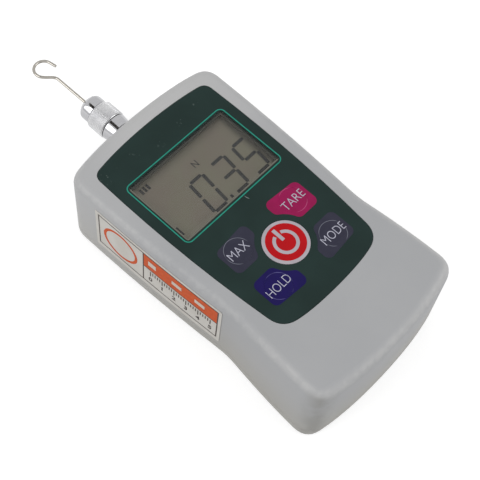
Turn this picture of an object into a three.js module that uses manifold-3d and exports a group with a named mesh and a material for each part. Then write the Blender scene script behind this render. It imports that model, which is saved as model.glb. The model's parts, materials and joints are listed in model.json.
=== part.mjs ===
// Digital force gauge: a hand-held push and pull gauge with a hook in a small keyless chuck, lying on its back.
// Millimetres. +Z points out of the display, +Y runs along the measuring axis towards the hook, and +X is
// to the right as the display reads. The origin is the middle of the case's flat back.
import * as THREE from "three";
import { mergeVertices } from "three/addons/utils/BufferGeometryUtils.js";
import Module from "manifold-3d";

const wasm = await Module();
wasm.setup();

// Case outline
const CASE_LENGTH = 118.2;
const HOOK_END_WIDTH = 66.5;
const WAIST_WIDTH = 61.8;
const TAIL_FRONT_WIDTH = 66.9;
const TAIL_BACK_WIDTH = 69.1;
const WAIST_FROM_TAIL = 42.4;
const HOOK_END_CROWN = 3.4;
const TAIL_CROWN = 3.8;
const SIDE_CROWN = 0.66;
const FLARE_CROWN = 0.46;
const HOOK_CORNER_RADIUS = 6;
const TAIL_CORNER_RADIUS = 6;
const WAIST_RADIUS = 4;

// Case walls
const CASE_WALL = 2.4;
const BACK_WALL = 2.4;
const FRONT_WALL = 1.6;
const FRONT_EDGE_RADIUS = 3.5;
const BACK_EDGE_RADIUS = 2.5;
const REAR_SHELL_DEPTH = 5;
const SEAM_BEVEL = 0.25;

// Clearances shared by the pieces
const FIT_GAP = 0.3;
const CLOSE_GAP = 0.15;
const OVERRUN = 1;

// Case screws and the bosses that they hold
const CASE_SCREW_RADIUS = 1.1;
const CASE_SCREW_HEAD_RADIUS = 2.3;
const CASE_SCREW_HEAD_DEPTH = 1.8;
const CASE_SCREW_LENGTH = 12;
const CASE_SCREW_SINK = 0.4;
const BOSS_RADIUS = 2.5;
const HOOK_BOSS_SETBACK = 1.2;
const SCREW_SLOT_WIDTH = 0.6;
const SCREW_SLOT_DEPTH = 0.8;

// Threaded inserts for a test stand, and the chassis plate that they carry
const INSERT_RADIUS = 3;
const INSERT_BORE_RADIUS = 1.65;
const INSERT_LENGTH = 6;
const INSERT_SPACING_X = 32;
const INSERT_SPACING_Y = 34;
const INSERT_BOSS_WALL = 1.3;
const CHASSIS_THICKNESS = 1.6;
const CHASSIS_MARGIN = 2;

// Load cell, a double-ended beam loaded at its middle
const CELL_FOOT_HEIGHT = 2.25;
const CELL_FOOT_LENGTH = 7.5;
const CELL_HEIGHT = 12;
const CELL_LENGTH = 44;
const CELL_DEPTH = 12;
const CELL_FLEXURE = 2;
const CELL_HUB_WIDTH = 12;
const CELL_WINDOW_LENGTH = 6.5;
const CELL_FROM_HOOK_END = 39.2;
const CELL_SCREW_RADIUS = 2;
const CELL_SCREW_HEAD_RADIUS = 3.4;
const CELL_SCREW_HEAD_HEIGHT = 2.2;

// Circuit board, and the stack up to the front of the case
const BOARD_AIR = 2.45;
const BOARD_THICKNESS = 1.6;
const BOARD_SIDE_GAP = 2.25;
const BOARD_TAIL_MARGIN = 1.4;
const BOARD_SCREW_RADIUS = 1;
const BOARD_SCREW_HEAD_RADIUS = 2;
const BOARD_SCREW_HEAD_HEIGHT = 1.3;
const BOARD_SCREW_LENGTH = 5;
const POST_RADIUS = 2.3;
const PROCESSOR_SIZE = 10;
const PROCESSOR_HEIGHT = 1.4;

// Display
const DISPLAY_FROM_HOOK_END = 34;
const DISPLAY_FRAME_WIDTH = 46;
const DISPLAY_FRAME_HEIGHT = 29.1;
const WINDOW_BORDER = 0.8;
const WINDOW_CORNER_RADIUS = 1.2;
const WINDOW_LEDGE = 0.6;
const PANEL_MARGIN = 2.6;
const PANEL_THICKNESS = 1.9;
const PANEL_STANDOFF = 2.8;
const HOLDER_WALL = 1.5;
const HOLDER_LEDGE = 2;
const HOLDER_LEDGE_THICKNESS = 1;
const CONNECTOR_WIDTH = 2.4;
const CONNECTOR_LENGTH = 42;

// Keypad overlay
const OVERLAY_THICKNESS = 0.6;
const OVERLAY_HOOK_WIDTH = 52.7;
const OVERLAY_TAIL_WIDTH = 46.6;
const OVERLAY_HOOK_MARGIN = 6.7;
const OVERLAY_LENGTH = 85.5;
const OVERLAY_HOOK_CROWN = 2.3;
const OVERLAY_TAIL_CROWN = 2.6;
const OVERLAY_SIDE_CROWN = 1.4;
const OVERLAY_HOOK_RADIUS = 3;
const OVERLAY_TAIL_RADIUS = 5.5;

// Keys
const KEYPAD_FROM_DISPLAY = 36.2;
const POWER_KEY_RADIUS = 8;
const SMALL_KEY_RADIUS = 4.6;
const SMALL_KEY_X = 13.3;
const SMALL_KEY_Y = 8.8;
const KEY_THICKNESS = 1;
const KEY_RISE = 0.3;
const KEY_EDGE = 0.35;
const KEY_CROWN = 0.12;
const KEY_TRAVEL = 0.4;
const KEY_STEM_RADIUS = 1.7;
const SWITCH_SIZE = 6;
const SWITCH_HEIGHT = 2.9;
const SWITCH_PLUNGER_RADIUS = 1.75;
const SWITCH_PLUNGER_RISE = 0.45;
const SWITCH_STOP_GAP = 0.05;

// Measuring shaft and its bush
const SHAFT_RADIUS = 3;
const SHAFT_STUD_RADIUS = 2;
const SHAFT_COLLAR_RADIUS = 4.2;
const SHAFT_COLLAR_LENGTH = 1.7;
const SHAFT_STUD_OVERHANG = 3;
const SHAFT_NUT_RADIUS = 3.8;
const SHAFT_NUT_LENGTH = 2.4;
const BUSH_WALL = 1.2;
const BUSH_FLANGE = 1.7;
const BUSH_FLANGE_LENGTH = 1.6;
const BUSH_STAND_OUT = 0.4;

// Chuck
const CHUCK_FROM_CASE = 6.2;
const CHUCK_TAIL_RADIUS = 4.95;
const CHUCK_BAND_RADIUS = 5.15;
const CHUCK_RIM_RADIUS = 5.6;
const CHUCK_RING_LENGTH = 3.7;
const CHUCK_RIM_LENGTH = 0.35;
const CHUCK_RIM_CONE = 0.4;
const CHUCK_STUD_DEPTH = 4.5;
const CHUCK_CORE_RADIUS = 4;
const SLEEVE_LENGTH = 7.3;
const SLEEVE_RADIUS = 5.72;
const SLEEVE_BEVEL = 0.3;
const KNURL_TEETH = 24;
const KNURL_DEPTH = 0.3;
const NOSE_RADIUS = 4.95;
const NOSE_SHOULDER_RADIUS = 4.75;
const NOSE_KNEE_RADIUS = 4;
const NOSE_FACE_RADIUS = 2.9;
const NOSE_MOUTH_RADIUS = 1.5;
const NOSE_LENGTH = 5.6;
const NOSE_CONE = 2.2;
const NOSE_SHOULDER = 1.55;
const NOSE_KNEE = 0.7;
const NOSE_LIP = 1.5;
const SPIGOT_WALL = 0.7;
const SPIGOT_LENGTH = 1.5;
const JAW_RADIUS = 2.2;
const JAW_TRAVEL = 0.4;
const JAW_LENGTH = 7.6;
const JAW_GRIP_GAP = 0.05;
const JAW_COUNT = 3;

// Hook
const WIRE_RADIUS = 0.58;
const HOOK_NECK_FROM_NOSE = 16.1;
const LOOP_RADIUS = 3.6;
const LOOP_CENTRE_X = -0.7;
const LOOP_FROM_NECK = 5.9;
const LOOP_TIP_LENGTH = 2.8;
const LOOP_START_ANGLE = 200;
const LOOP_END_ANGLE = 10;

// Battery bay, its cells and its door
const BATTERY_RADIUS = 5.25;
const BATTERY_LENGTH = 43.6;
const BATTERY_NUB_RADIUS = 1.9;
const BATTERY_NUB_LENGTH = 0.9;
const BATTERY_GAP = 0.3;
const BAY_FROM_TAIL = 5.4;
const BAY_WALL = 0.9;
const BAY_FLOOR = 3.6;
const BAY_DOORWAY_STEP = 1.6;
const CONTACT_THICKNESS = 0.4;
const CONTACT_HEIGHT = 8;
const CONTACT_WIDTH = 8;
const SPRING_LENGTH = 4.6;
const SPRING_RADIUS = 2.6;
const SPRING_WIRE_RADIUS = 0.35;
const SPRING_TURNS = 3;
const DOOR_WIDTH = 48;
const DOOR_THICKNESS = 1.8;
const DOOR_INSET = 0.2;
const DOOR_TONGUE = 1.5;
const DOOR_LIP = 0.6;
const DOOR_OVERLAP = 1;
const DOOR_GRIP_WIDTH = 14;
const DOOR_GRIP_DEPTH = 0.5;
const DOOR_GRIP_PITCH = 1.8;
const DOOR_GRIPS = 3;

// Sticker on the left wall
const STICKER_LENGTH = 55.3;
const STICKER_HEIGHT = 22.8;
const STICKER_THICKNESS = 0.15;
const STICKER_GAP = 0.05;
const STICKER_FROM_HOOK_END = 16.4;
const STICKER_FROM_FRONT = 4.2;
const STICKER_CORNER_RADIUS = 0.6;

// Leads inside
const LEAD_RADIUS = 0.7;
const LEAD_REACH = 5;
const LEAD_SPACING = 6;

// How finely curves are cut
const CURVE_STEPS = 7;
const EDGE_STEPS = 5;
const LARGE_ROUND = 32;
const ROUND = 20;
const SMALL_ROUND = 10;
const WIRE_STEPS = 44;
const SPRING_TURN_STEPS = 8;

// Places along the measuring axis
const hookEnd = CASE_LENGTH / 2;
const tailEnd = -hookEnd;
const displayY = hookEnd - DISPLAY_FROM_HOOK_END;
const keypadY = displayY - KEYPAD_FROM_DISPLAY;
const cellY = hookEnd - CELL_FROM_HOOK_END;
const chuckY = hookEnd + CHUCK_FROM_CASE;
const sleeveY = chuckY + CHUCK_RING_LENGTH + FIT_GAP;
const noseY = sleeveY + SLEEVE_LENGTH + FIT_GAP;
const noseFaceY = noseY + NOSE_LENGTH;

// Heights, from the back to the front
const chassisBase = INSERT_LENGTH;
const chassisTop = chassisBase + CHASSIS_THICKNESS;
const cellBase = chassisTop + CELL_FOOT_HEIGHT;
const cellTop = cellBase + CELL_HEIGHT;
const shaftHeight = cellBase + CELL_HEIGHT / 2;
const boardBase = cellTop + CELL_SCREW_HEAD_HEIGHT + BOARD_AIR;
const boardTop = boardBase + BOARD_THICKNESS;
const panelBase = boardTop + PANEL_STANDOFF;
const frontInside = panelBase + PANEL_THICKNESS;
const overlayBase = frontInside + FRONT_WALL;
const caseDepth = overlayBase + OVERLAY_THICKNESS;

// Sizes that several pieces share
const windowWidth = DISPLAY_FRAME_WIDTH - 2 * WINDOW_BORDER;
const windowHeight = DISPLAY_FRAME_HEIGHT - 2 * WINDOW_BORDER;
const panelWidth = DISPLAY_FRAME_WIDTH + PANEL_MARGIN;
const panelHeight = DISPLAY_FRAME_HEIGHT + PANEL_MARGIN;
const holderWidth = panelWidth + 2 * (CLOSE_GAP + HOLDER_WALL);
const holderHeight = panelHeight + 2 * (CLOSE_GAP + HOLDER_WALL);
const boardHalf = WAIST_WIDTH / 2 - CASE_WALL - BOARD_SIDE_GAP;
const boardHookEnd = displayY + holderHeight / 2 + 2 * POST_RADIUS;
const boardTailEnd = keypadY - SMALL_KEY_Y - SWITCH_SIZE / 2 - BOARD_TAIL_MARGIN;
const keyTop = caseDepth + KEY_RISE;
const keyBase = keyTop - KEY_THICKNESS;
const pocketFloor = keyBase - KEY_TRAVEL - SWITCH_STOP_GAP;
const plungerTop = boardTop + SWITCH_HEIGHT + SWITCH_PLUNGER_RISE;
const stemBase = plungerTop + KEY_TRAVEL + SWITCH_STOP_GAP;
const shaftBoreRadius = SHAFT_RADIUS + FIT_GAP;
const bushRadius = shaftBoreRadius + BUSH_WALL;
const studBoreRadius = SHAFT_STUD_RADIUS + FIT_GAP;
const jawBoreRadius = JAW_RADIUS + JAW_TRAVEL + FIT_GAP;
const jawBaseY = noseFaceY - NOSE_LIP - FIT_GAP - JAW_LENGTH;
const bayTail = tailEnd + BAY_FROM_TAIL;
const bayHook = bayTail + 2 * BAY_WALL + 4 * BATTERY_RADIUS + 3 * BATTERY_GAP;
const bayHalf = (BATTERY_LENGTH + BATTERY_NUB_LENGTH + SPRING_LENGTH) / 2 + CONTACT_THICKNESS + FIT_GAP;
const batteryHeight = BAY_FLOOR + BATTERY_GAP + BATTERY_RADIUS;
const bayRoof = batteryHeight + BATTERY_RADIUS + BATTERY_GAP;
const doorHook = bayHook + DOOR_OVERLAP;
const doorTop = DOOR_INSET + DOOR_THICKNESS;
const doorRecess = doorTop + FIT_GAP;

// Plan outlines run from the tail to the hook end. A corner's crown bulges the edge that follows it, and its
// spread is how much further out it lies at the back of the case than at the front.
const casePlan = {
  tailEnd,
  hookEnd,
  corners: [
    corner(
      TAIL_FRONT_WIDTH / 2,
      tailEnd + TAIL_CROWN,
      TAIL_CORNER_RADIUS,
      FLARE_CROWN,
      -1,
      (TAIL_BACK_WIDTH - TAIL_FRONT_WIDTH) / 2,
    ),
    corner(WAIST_WIDTH / 2, tailEnd + WAIST_FROM_TAIL, WAIST_RADIUS, SIDE_CROWN, 0),
    corner(HOOK_END_WIDTH / 2, hookEnd - HOOK_END_CROWN, HOOK_CORNER_RADIUS, 0, 1),
  ],
};
const overlayHookEnd = hookEnd - OVERLAY_HOOK_MARGIN;
const overlayTailEnd = overlayHookEnd - OVERLAY_LENGTH;
const overlayPlan = {
  tailEnd: overlayTailEnd,
  hookEnd: overlayHookEnd,
  corners: [
    corner(
      OVERLAY_TAIL_WIDTH / 2,
      overlayTailEnd + OVERLAY_TAIL_CROWN,
      OVERLAY_TAIL_RADIUS,
      OVERLAY_SIDE_CROWN,
      -1,
    ),
    corner(OVERLAY_HOOK_WIDTH / 2, overlayHookEnd - OVERLAY_HOOK_CROWN, OVERLAY_HOOK_RADIUS, 0, 1),
  ],
};

// Where the five keys are, with their sizes
const keys = [
  { name: "power", x: 0, y: keypadY, radius: POWER_KEY_RADIUS },
  { name: "tare", x: SMALL_KEY_X, y: keypadY + SMALL_KEY_Y, radius: SMALL_KEY_RADIUS },
  { name: "max", x: -SMALL_KEY_X, y: keypadY + SMALL_KEY_Y, radius: SMALL_KEY_RADIUS },
  { name: "mode", x: SMALL_KEY_X, y: keypadY - SMALL_KEY_Y, radius: SMALL_KEY_RADIUS },
  { name: "hold", x: -SMALL_KEY_X, y: keypadY - SMALL_KEY_Y, radius: SMALL_KEY_RADIUS },
];

// Where the case screws, board screws and stand inserts go
const hookBossX = HOOK_END_WIDTH / 2 - CASE_WALL - BOSS_RADIUS - HOOK_BOSS_SETBACK;
const hookBossY = hookEnd - HOOK_END_CROWN - CASE_WALL - BOSS_RADIUS;
const tailBossX = WAIST_WIDTH / 2 - CASE_WALL - BOSS_RADIUS;
const tailBossY = doorHook + BAY_WALL + CASE_SCREW_HEAD_RADIUS + 2 * FIT_GAP;
const caseScrews = [
  [-hookBossX, hookBossY],
  [hookBossX, hookBossY],
  [-tailBossX, tailBossY],
  [tailBossX, tailBossY],
];
const postX = boardHalf - POST_RADIUS - FIT_GAP;
const hookPostY = boardHookEnd - POST_RADIUS;
const boardScrews = [
  [-postX, hookPostY],
  [postX, hookPostY],
  [-postX, keypadY],
  [postX, keypadY],
];
const inserts = [
  [-INSERT_SPACING_X / 2, cellY - INSERT_SPACING_Y / 2],
  [INSERT_SPACING_X / 2, cellY - INSERT_SPACING_Y / 2],
  [-INSERT_SPACING_X / 2, cellY + INSERT_SPACING_Y / 2],
  [INSERT_SPACING_X / 2, cellY + INSERT_SPACING_Y / 2],
];
const cellScrewX = (CELL_LENGTH - CELL_FOOT_LENGTH) / 2;

// Materials
const greyPlastic = new THREE.MeshStandardMaterial({ color: 0xa9aaac, roughness: 0.6, metalness: 0 });
const greenFilm = new THREE.MeshStandardMaterial({ color: 0x2c3736, roughness: 0.45, metalness: 0 });
const clearPlastic = new THREE.MeshStandardMaterial({
  color: 0xe8ebe8,
  roughness: 0.1,
  metalness: 0,
  transparent: true,
  opacity: 0.3,
});
const displayGlass = new THREE.MeshStandardMaterial({ color: 0x716d64, roughness: 0.3, metalness: 0 });
const redFilm = new THREE.MeshStandardMaterial({ color: 0xbe1c24, roughness: 0.45, metalness: 0 });
const pinkFilm = new THREE.MeshStandardMaterial({ color: 0x9e265c, roughness: 0.45, metalness: 0 });
const slateFilm = new THREE.MeshStandardMaterial({ color: 0x3e3e4b, roughness: 0.45, metalness: 0 });
const navyFilm = new THREE.MeshStandardMaterial({ color: 0x26205a, roughness: 0.45, metalness: 0 });
const blackPlastic = new THREE.MeshStandardMaterial({ color: 0x1d1e20, roughness: 0.55, metalness: 0 });
const boardGreen = new THREE.MeshStandardMaterial({ color: 0x1f5a35, roughness: 0.5, metalness: 0 });
const rubberGrey = new THREE.MeshStandardMaterial({ color: 0x4a4a4c, roughness: 0.85, metalness: 0 });
const aluminium = new THREE.MeshStandardMaterial({ color: 0xc3c5c8, roughness: 0.4, metalness: 1 });
const sheetSteel = new THREE.MeshStandardMaterial({ color: 0xb4b6b8, roughness: 0.45, metalness: 1 });
const chrome = new THREE.MeshStandardMaterial({ color: 0xd4d5d6, roughness: 0.15, metalness: 1 });
const springSteel = new THREE.MeshStandardMaterial({ color: 0xc8c6c0, roughness: 0.25, metalness: 1 });
const brass = new THREE.MeshStandardMaterial({ color: 0xc29a4c, roughness: 0.35, metalness: 1 });
const cellWrap = new THREE.MeshStandardMaterial({ color: 0x3c6ea0, roughness: 0.35, metalness: 0 });
const whiteVinyl = new THREE.MeshStandardMaterial({ color: 0xdedad2, roughness: 0.5, metalness: 0 });
const redWire = new THREE.MeshStandardMaterial({ color: 0xa82a24, roughness: 0.6, metalness: 0 });
const blackWire = new THREE.MeshStandardMaterial({ color: 0x222224, roughness: 0.6, metalness: 0 });

// A corner of a plan outline: side is -1 at the tail, 1 at the hook end and 0 between them.
function corner(half, y, radius, crown, side, spread = 0) {
  return { half, y, radius, crown, side, spread };
}

// A point that lies a distance from one point towards another.
function towards(from, to, distance) {
  return to.clone().sub(from).setLength(distance).add(from);
}

// A plan outline at a height, drawn in by an inset: the right half from tail to hook end, then its mirror image.
function outline(plan, z, inset) {
  const tail = new THREE.Vector2(0, plan.tailEnd + inset);
  const hook = new THREE.Vector2(0, plan.hookEnd - inset);
  const corners = plan.corners.map(({ half, y, side, spread }) => {
    const reach = half + spread * (1 - z / caseDepth);
    return new THREE.Vector2(reach - inset, y - side * inset);
  });
  const handles = [new THREE.Vector2(corners[0].x / 2, tail.y)];
  for (let i = 1; i < corners.length; i += 1) {
    const middle = corners[i].clone().add(corners[i - 1]).divideScalar(2);
    middle.x += 2 * plan.corners[i - 1].crown;
    handles.push(middle);
  }
  handles.push(new THREE.Vector2(corners.at(-1).x / 2, hook.y));
  const half = new THREE.Path();
  half.moveTo(tail.x, tail.y);
  corners.forEach((point, i) => {
    const { radius, side } = plan.corners[i];
    const reach = side === 0 ? radius : Math.max(radius - inset, radius / 5);
    const before = towards(point, handles[i], reach);
    const after = towards(point, handles[i + 1], reach);
    half.quadraticCurveTo(handles[i].x, handles[i].y, before.x, before.y);
    half.quadraticCurveTo(point.x, point.y, after.x, after.y);
  });
  half.quadraticCurveTo(handles.at(-1).x, handles.at(-1).y, hook.x, hook.y);
  const right = half.getPoints(CURVE_STEPS);
  const left = right.slice(1, -1).reverse();
  return [...right, ...left.map((p) => new THREE.Vector2(-p.x, p.y))];
}

// The levels of a skin: each is an outline at a height.
function level(plan, z, inset) {
  return { z, ring: outline(plan, z, inset) };
}

// The levels of a quarter-round edge, from the wall at one height to the face at another.
function edgeLevels(plan, wallZ, faceZ, radius) {
  const levels = [];
  for (let i = 0; i <= EDGE_STEPS; i += 1) {
    const angle = (i / EDGE_STEPS) * (Math.PI / 2);
    const z = wallZ + (faceZ - wallZ) * Math.sin(angle);
    levels.push(level(plan, z, radius * (1 - Math.cos(angle))));
  }
  return levels;
}

// A closed body through levels with equally many points, the lowest first.
function loft(levels) {
  const count = levels[0].ring.length;
  const positions = levels.flatMap(({ z, ring }) => ring.flatMap((p) => [p.x, p.y, z]));
  const faces = [];
  for (let k = 1; k < levels.length; k += 1) {
    for (let i = 0; i < count; i += 1) {
      const a = (k - 1) * count + i;
      const b = (k - 1) * count + ((i + 1) % count);
      faces.push(a, b, b + count, a, b + count, a + count);
    }
  }
  const lastRing = (levels.length - 1) * count;
  for (const [a, b, c] of THREE.ShapeUtils.triangulateShape(levels[0].ring, [])) {
    faces.push(c, b, a);
  }
  for (const [a, b, c] of THREE.ShapeUtils.triangulateShape(levels.at(-1).ring, [])) {
    faces.push(lastRing + a, lastRing + b, lastRing + c);
  }
  const geometry = new THREE.BufferGeometry();
  geometry.setAttribute("position", new THREE.Float32BufferAttribute(positions, 3));
  geometry.setIndex(faces);
  return solid(geometry);
}

// A closed geometry as a solid that can be joined and cut.
function solid(geometry) {
  const bare = geometry.clone();
  bare.deleteAttribute("normal");
  bare.deleteAttribute("uv");
  const merged = mergeVertices(bare);
  const corners = merged.index.array;
  const triVerts = [];
  for (let i = 0; i < corners.length; i += 3) {
    const [a, b, c] = corners.slice(i, i + 3);
    if (a !== b && b !== c && c !== a) triVerts.push(a, b, c);
  }
  return new wasm.Manifold(
    new wasm.Mesh({
      numProp: 3,
      vertProperties: new Float32Array(merged.attributes.position.array),
      triVerts: new Uint32Array(triVerts),
    }),
  );
}

// A solid back as a geometry.
function geometryOf(body) {
  const mesh = body.getMesh();
  const geometry = new THREE.BufferGeometry();
  geometry.setAttribute("position", new THREE.Float32BufferAttribute(mesh.vertProperties, 3));
  geometry.setIndex([...mesh.triVerts]);
  const facets = geometry.toNonIndexed();
  facets.computeVertexNormals();
  return facets;
}

function block(x0, x1, y0, y1, z0, z1) {
  const box = new THREE.BoxGeometry(x1 - x0, y1 - y0, z1 - z0);
  box.translate((x0 + x1) / 2, (y0 + y1) / 2, (z0 + z1) / 2);
  return solid(box);
}

// A round bar along Z.
function pillar(x, y, radius, z0, z1, sides = ROUND) {
  const bar = new THREE.CylinderGeometry(radius, radius, z1 - z0, sides);
  bar.rotateX(Math.PI / 2);
  bar.translate(x, y, (z0 + z1) / 2);
  return solid(bar);
}

// A round bar along Y, on the measuring axis unless another axis is given.
function bar(radius, y0, y1, sides = ROUND) {
  const shape = new THREE.CylinderGeometry(radius, radius, y1 - y0, sides);
  shape.translate(0, (y0 + y1) / 2, shaftHeight);
  return solid(shape);
}

// A profile of radius and place turned round the measuring axis.
function turnedOnShaft(profile, sides = ROUND) {
  const shape = new THREE.LatheGeometry(
    profile.map(([r, y]) => new THREE.Vector2(r, y)),
    sides,
  );
  shape.translate(0, 0, shaftHeight);
  return solid(shape);
}

// A profile of radius and height turned round an upright axis through the origin.
function turnedUpright(profile, sides = ROUND) {
  const shape = new THREE.LatheGeometry(
    profile.map(([r, z]) => new THREE.Vector2(r, z)),
    sides,
  );
  shape.rotateX(Math.PI / 2);
  return solid(shape);
}

// A rectangle with round corners, as a shape.
function roundedRectangle(width, height, radius) {
  const x = width / 2;
  const y = height / 2;
  const shape = new THREE.Shape();
  shape.moveTo(-x + radius, -y);
  shape.lineTo(x - radius, -y);
  shape.absarc(x - radius, -y + radius, radius, -Math.PI / 2, 0);
  shape.lineTo(x, y - radius);
  shape.absarc(x - radius, y - radius, radius, 0, Math.PI / 2);
  shape.lineTo(-x + radius, y);
  shape.absarc(-x + radius, y - radius, radius, Math.PI / 2, Math.PI);
  shape.lineTo(-x, -y + radius);
  shape.absarc(-x + radius, -y + radius, radius, Math.PI, 1.5 * Math.PI);
  return shape;
}

// A shape raised along Z.
function raised(shape, x, y, z0, z1) {
  const body = new THREE.ExtrudeGeometry(shape, {
    depth: z1 - z0,
    bevelEnabled: false,
    curveSegments: CURVE_STEPS,
  });
  body.translate(x, y, z0);
  return solid(body);
}

// A wire of round section along a curve.
function wire(curve, radius, steps, sides) {
  const section = new THREE.Shape();
  section.absarc(0, 0, radius, 0, 2 * Math.PI);
  const body = new THREE.ExtrudeGeometry(section, {
    steps,
    bevelEnabled: false,
    curveSegments: sides,
    extrudePath: curve,
  });
  return solid(body);
}

const gauge = new THREE.Group();

function piece(name, body, material, x = 0, y = 0, z = 0) {
  const mesh = new THREE.Mesh(body.isBufferGeometry ? body : geometryOf(body), material);
  mesh.name = name;
  mesh.position.set(x, y, z);
  gauge.add(mesh);
}

// The outer form of each half of the case.
function frontForm() {
  return loft([
    level(casePlan, REAR_SHELL_DEPTH, SEAM_BEVEL),
    level(casePlan, REAR_SHELL_DEPTH + SEAM_BEVEL, 0),
    ...edgeLevels(casePlan, caseDepth - FRONT_EDGE_RADIUS, caseDepth, FRONT_EDGE_RADIUS),
  ]);
}

function rearForm() {
  return loft([
    ...edgeLevels(casePlan, BACK_EDGE_RADIUS, 0, BACK_EDGE_RADIUS).reverse(),
    level(casePlan, REAR_SHELL_DEPTH - SEAM_BEVEL, 0),
    level(casePlan, REAR_SHELL_DEPTH, SEAM_BEVEL),
  ]);
}

// The space inside the case between two heights.
function caseSpace(z0, z1) {
  return loft([level(casePlan, z0, CASE_WALL), level(casePlan, z1, CASE_WALL)]);
}

function frontShell() {
  let shell = frontForm().subtract(caseSpace(REAR_SHELL_DEPTH - OVERRUN, frontInside));
  for (const [x, y] of caseScrews) {
    shell = shell.add(pillar(x, y, BOSS_RADIUS, REAR_SHELL_DEPTH, overlayBase, SMALL_ROUND));
  }
  for (const [x, y] of boardScrews) {
    shell = shell.add(pillar(x, y, POST_RADIUS, boardTop, overlayBase, SMALL_ROUND));
  }
  const recess = loft([
    level(overlayPlan, overlayBase, -CLOSE_GAP),
    level(overlayPlan, caseDepth + OVERRUN, -CLOSE_GAP),
  ]);
  const sight = roundedRectangle(
    windowWidth - 2 * WINDOW_LEDGE,
    windowHeight - 2 * WINDOW_LEDGE,
    WINDOW_CORNER_RADIUS,
  );
  shell = shell.subtract(recess);
  shell = shell.subtract(raised(sight, 0, displayY, frontInside - OVERRUN, caseDepth));
  for (const { x, y, radius } of keys) {
    const sides = radius === POWER_KEY_RADIUS ? LARGE_ROUND : ROUND;
    shell = shell.subtract(pillar(x, y, radius + CLOSE_GAP, pocketFloor, caseDepth, sides));
    const stemHole = KEY_STEM_RADIUS + FIT_GAP;
    shell = shell.subtract(pillar(x, y, stemHole, frontInside - OVERRUN, caseDepth, SMALL_ROUND));
  }
  const screwHole = CASE_SCREW_RADIUS + FIT_GAP;
  const screwEnd = CASE_SCREW_SINK + CASE_SCREW_HEAD_DEPTH + CASE_SCREW_LENGTH;
  for (const [x, y] of caseScrews) {
    const hole = pillar(x, y, screwHole, REAR_SHELL_DEPTH - OVERRUN, screwEnd + OVERRUN, SMALL_ROUND);
    shell = shell.subtract(hole);
  }
  const boardScrewHole = BOARD_SCREW_RADIUS + FIT_GAP;
  for (const [x, y] of boardScrews) {
    const top = boardBase + BOARD_SCREW_LENGTH + FIT_GAP;
    shell = shell.subtract(pillar(x, y, boardScrewHole, boardTop - OVERRUN, top, SMALL_ROUND));
  }
  const bushHole = bar(bushRadius + FIT_GAP, hookEnd - CASE_WALL - OVERRUN, hookEnd + OVERRUN);
  return shell.subtract(bushHole);
}

// The door and the space that it slides in share one form: a plate with a tongue along each side.
function doorForm(gap, tail, hook) {
  const plateHalf = DOOR_WIDTH / 2 + gap;
  const tongueHalf = DOOR_WIDTH / 2 + DOOR_TONGUE + gap;
  const base = gap > 0 ? -OVERRUN : DOOR_INSET;
  const plate = block(-plateHalf, plateHalf, tail, hook + gap, base, doorTop + gap);
  const tongueBase = DOOR_LIP + (gap > 0 ? 0 : FIT_GAP);
  const tongue = block(-tongueHalf, tongueHalf, tail, hook + gap, tongueBase, doorTop + gap);
  return plate.add(tongue);
}

function rearShell() {
  const form = rearForm();
  let shell = form.subtract(caseSpace(BACK_WALL, REAR_SHELL_DEPTH + OVERRUN));
  const bayOuter = bayHalf + BAY_WALL;
  const padHalf = Math.max(bayOuter, DOOR_WIDTH / 2 + DOOR_TONGUE + BAY_WALL);
  const padBase = DOOR_LIP;
  const pad = block(-padHalf, padHalf, tailEnd, doorHook + BAY_WALL, padBase, BAY_FLOOR).intersect(form);
  shell = shell.add(pad);
  shell = shell.add(block(-bayOuter, bayOuter, bayTail, bayHook, padBase, bayRoof + BAY_WALL));
  for (const [x, y] of caseScrews) {
    shell = shell.add(pillar(x, y, BOSS_RADIUS + FIT_GAP, padBase, REAR_SHELL_DEPTH, SMALL_ROUND));
  }
  for (const [x, y] of inserts) {
    const bossRadius = INSERT_RADIUS + FIT_GAP + INSERT_BOSS_WALL;
    shell = shell.add(pillar(x, y, bossRadius, padBase, INSERT_LENGTH - FIT_GAP));
  }
  const inTail = bayTail + BAY_WALL;
  const inHook = bayHook - BAY_WALL;
  const doorwayHalf = bayHalf - BAY_DOORWAY_STEP;
  shell = shell.subtract(block(-bayHalf, bayHalf, inTail, inHook, BAY_FLOOR, bayRoof));
  shell = shell.subtract(block(-doorwayHalf, doorwayHalf, inTail, inHook, -OVERRUN, BAY_FLOOR + OVERRUN));
  shell = shell.subtract(doorForm(FIT_GAP, tailEnd - OVERRUN, doorHook));
  for (const [x, y] of caseScrews) {
    const shankHole = CASE_SCREW_RADIUS + FIT_GAP;
    const headHole = CASE_SCREW_HEAD_RADIUS + FIT_GAP;
    const headSeat = CASE_SCREW_SINK + CASE_SCREW_HEAD_DEPTH;
    shell = shell.subtract(pillar(x, y, headHole, -OVERRUN, headSeat, SMALL_ROUND));
    shell = shell.subtract(pillar(x, y, shankHole, -OVERRUN, REAR_SHELL_DEPTH + OVERRUN, SMALL_ROUND));
  }
  for (const [x, y] of inserts) {
    const hole = pillar(x, y, INSERT_RADIUS + FIT_GAP, -OVERRUN, INSERT_LENGTH + OVERRUN);
    shell = shell.subtract(hole);
  }
  return shell;
}

function batteryDoor() {
  let door = doorForm(0, tailEnd - OVERRUN, doorHook).intersect(rearForm());
  for (let i = 0; i < DOOR_GRIPS; i += 1) {
    const y = doorHook - (i + 2) * DOOR_GRIP_PITCH;
    const half = DOOR_GRIP_WIDTH / 2;
    const depth = DOOR_INSET + DOOR_GRIP_DEPTH;
    door = door.subtract(block(-half, half, y, y + DOOR_GRIP_PITCH / 2, -OVERRUN, depth));
  }
  return door;
}

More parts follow.
